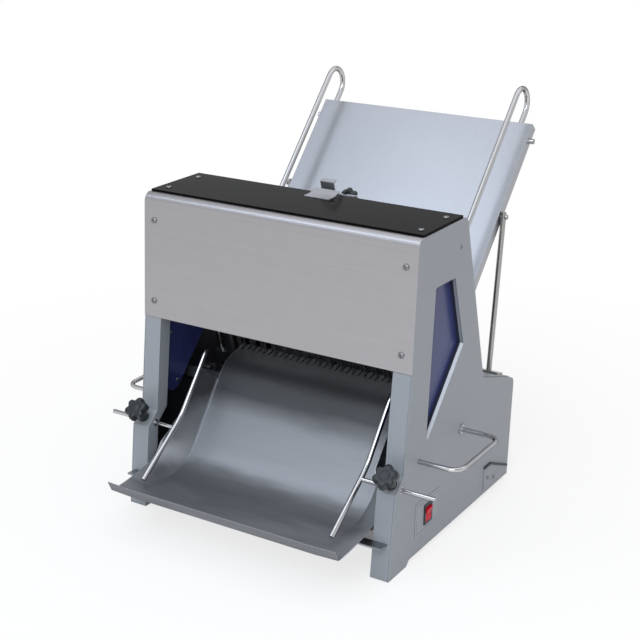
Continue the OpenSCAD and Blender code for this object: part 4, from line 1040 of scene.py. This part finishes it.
class SLICER_OT_studio(bpy.types.Operator):
    """Sets the floor, the lamps and the camera"""

    bl_idname = "slicer.studio"
    bl_label = "Studio"

    floor_half = 14
    aim = (0, 0, 0.3)
    lamps = (
        ("key", (0.9, -2.8, 2.5), 2.0, (0.81, 0.905, 1.0)),
        ("fill", (-1.25, -1.5, 2.95), 1.5, (0.78, 0.88, 1.0)),
        ("top", (0.3, 0.6, 3.2), 4.4, (0.97, 0.98, 1.0)),
    )

    def execute(self, context):
        scene = context.scene
        studio = scene.slicer_studio
        scene.view_settings.view_transform = "Standard"
        self.floor(studio)
        self.world(scene)
        for name, place, size, colour in self.lamps:
            self.lamp(name, place, size, getattr(studio, name), colour)
        self.camera(scene, studio)
        return {"FINISHED"}

    def floor(self, studio):
        """A white floor that keeps the slicer's shadow"""
        mesh = bpy.data.meshes.new("floor")
        form = bmesh.new()
        bmesh.ops.create_grid(form, x_segments=1, y_segments=1, size=self.floor_half)
        form.to_mesh(mesh)
        form.free()
        piece = bpy.data.objects.new("floor", mesh)
        bpy.context.collection.objects.link(piece)
        paper = Finish("floor paper", {"Roughness": 0.9, "Base Color": studio.floor})
        away = paper.node("VectorMath", {"operation": "LENGTH"}, {0: paper.place}, "Value")
        far = ((away - 0.5) * 1.2).held()
        seen, glossy = paper.node("LightPath", {}, {}, ("Is Camera Ray", "Is Glossy Ray"))
        glow = paper.node("Emission", {}, {"Color": (1, 1, 1), "Strength": 1.0})
        share = (seen | glossy * 0.5) * (far * 0.25 + 0.75)
        blend = paper.node("MixShader", {}, {0: share, 1: paper.surface, 2: glow})
        paper.node("OutputMaterial", {"is_active_output": True}, {"Surface": blend})
        mesh.materials.append(paper.material)

    def world(self, scene):
        """Soft light, a grey dome in mirrors and a white backdrop"""
        world = bpy.data.worlds.new("studio")
        scene.world = world
        world.use_nodes = True
        sky = Nodes(world.node_tree)
        way = sky.node("TexCoord", {}, {}, "Generated")
        height = sky.node("SeparateXYZ", {}, {0: way}, "Z")
        stops = [(0.0, (1.0, 1.0, 1.0)), (0.30, (0.72, 0.73, 0.75)), (0.9, (0.34, 0.35, 0.37))]
        dome = sky.node("ValToRGB", {"stops": stops}, {0: height})
        seen, glossy = sky.node("LightPath", {}, {}, ("Is Camera Ray", "Is Glossy Ray"))
        soft = sky.node("Background", {}, {"Color": (1.0, 0.975, 0.945), "Strength": 0.5})
        mirror = sky.node("Background", {}, {"Color": dome, "Strength": 1.0})
        white = sky.node("Background", {}, {"Color": (1, 1, 1), "Strength": 1.0})
        lit = sky.node("MixShader", {}, {0: glossy, 1: soft, 2: mirror})
        shown = sky.node("MixShader", {}, {0: seen, 1: lit, 2: white})
        sky.node("OutputWorld", {}, {"Surface": shown})

    def lamp(self, name, place, size, power, colour):
        """A square lamp that looks at the slicer"""
        light = bpy.data.lights.new(name, "AREA")
        light.shape = "SQUARE"
        light.size = size
        light.energy = power
        light.color = colour
        piece = bpy.data.objects.new(name, light)
        bpy.context.collection.objects.link(piece)
        turn = (Vector(place) - Vector(self.aim)).to_track_quat("Z", "Y")
        piece.matrix_world = Matrix.Translation(place) @ turn.to_matrix().to_4x4()

    def camera(self, scene, studio):
        """The camera, from its place and its turns"""
        lens = bpy.data.cameras.new("camera")
        lens.sensor_fit = "HORIZONTAL"
        lens.sensor_width = 36.0
        lens.lens = studio.focal
        turn, rise = studio.azimuth, studio.elevation
        right = Vector((math.cos(turn), math.sin(turn), 0))
        level = Vector((math.sin(turn), -math.cos(turn), 0))
        back = level * math.cos(rise) + Vector((0, 0, math.sin(rise)))
        up = back.cross(right)
        across = right * math.cos(studio.roll) - up * math.sin(studio.roll)
        above = right * math.sin(studio.roll) + up * math.cos(studio.roll)
        piece = bpy.data.objects.new("camera", lens)
        bpy.context.collection.objects.link(piece)
        axes = Matrix((across, above, back)).transposed().to_4x4()
        piece.matrix_world = Matrix.Translation(studio.eye) @ axes
        scene.camera = piece


class SLICER_PT_panel(bpy.types.Panel):
    """Sizes, colours and steps of the slicer"""

    bl_idname = "SLICER_PT_panel"
    bl_label = "Bread Slicer"
    bl_space_type = "VIEW_3D"
    bl_region_type = "UI"
    bl_category = "Slicer"

    def draw(self, context):
        for name in GROUPS:
            group = getattr(context.scene, name)
            box = self.layout.box()
            for key in group.__annotations__:
                box.prop(group, key)
        for step in STEPS:
            self.layout.operator(step.bl_idname)


GROUPS = {"slicer_colours": SlicerColours, "slicer_sizes": SlicerSizes, "slicer_studio": SlicerStudio}
STEPS = (
    SLICER_OT_housing,
    SLICER_OT_covers,
    SLICER_OT_chute,
    SLICER_OT_tray,
    SLICER_OT_plastics,
    SLICER_OT_knobs,
    SLICER_OT_screws,
    SLICER_OT_blades,
    SLICER_OT_rods,
    SLICER_OT_drive,
    SLICER_OT_studio,
)


def register():
    for key, group in GROUPS.items():
        bpy.utils.register_class(group)
        setattr(bpy.types.Scene, key, bpy.props.PointerProperty(type=group))
    for step in STEPS:
        bpy.utils.register_class(step)
    bpy.utils.register_class(SLICER_PT_panel)


def unregister():
    bpy.utils.unregister_class(SLICER_PT_panel)
    for step in reversed(STEPS):
        bpy.utils.unregister_class(step)
    for key, group in GROUPS.items():
        delattr(bpy.types.Scene, key)
        bpy.utils.unregister_class(group)


def main():
    register()
    for step in STEPS:
        category, name = step.bl_idname.split(".")
        getattr(getattr(bpy.ops, category), name)()


if __name__ == "__main__":
    main()
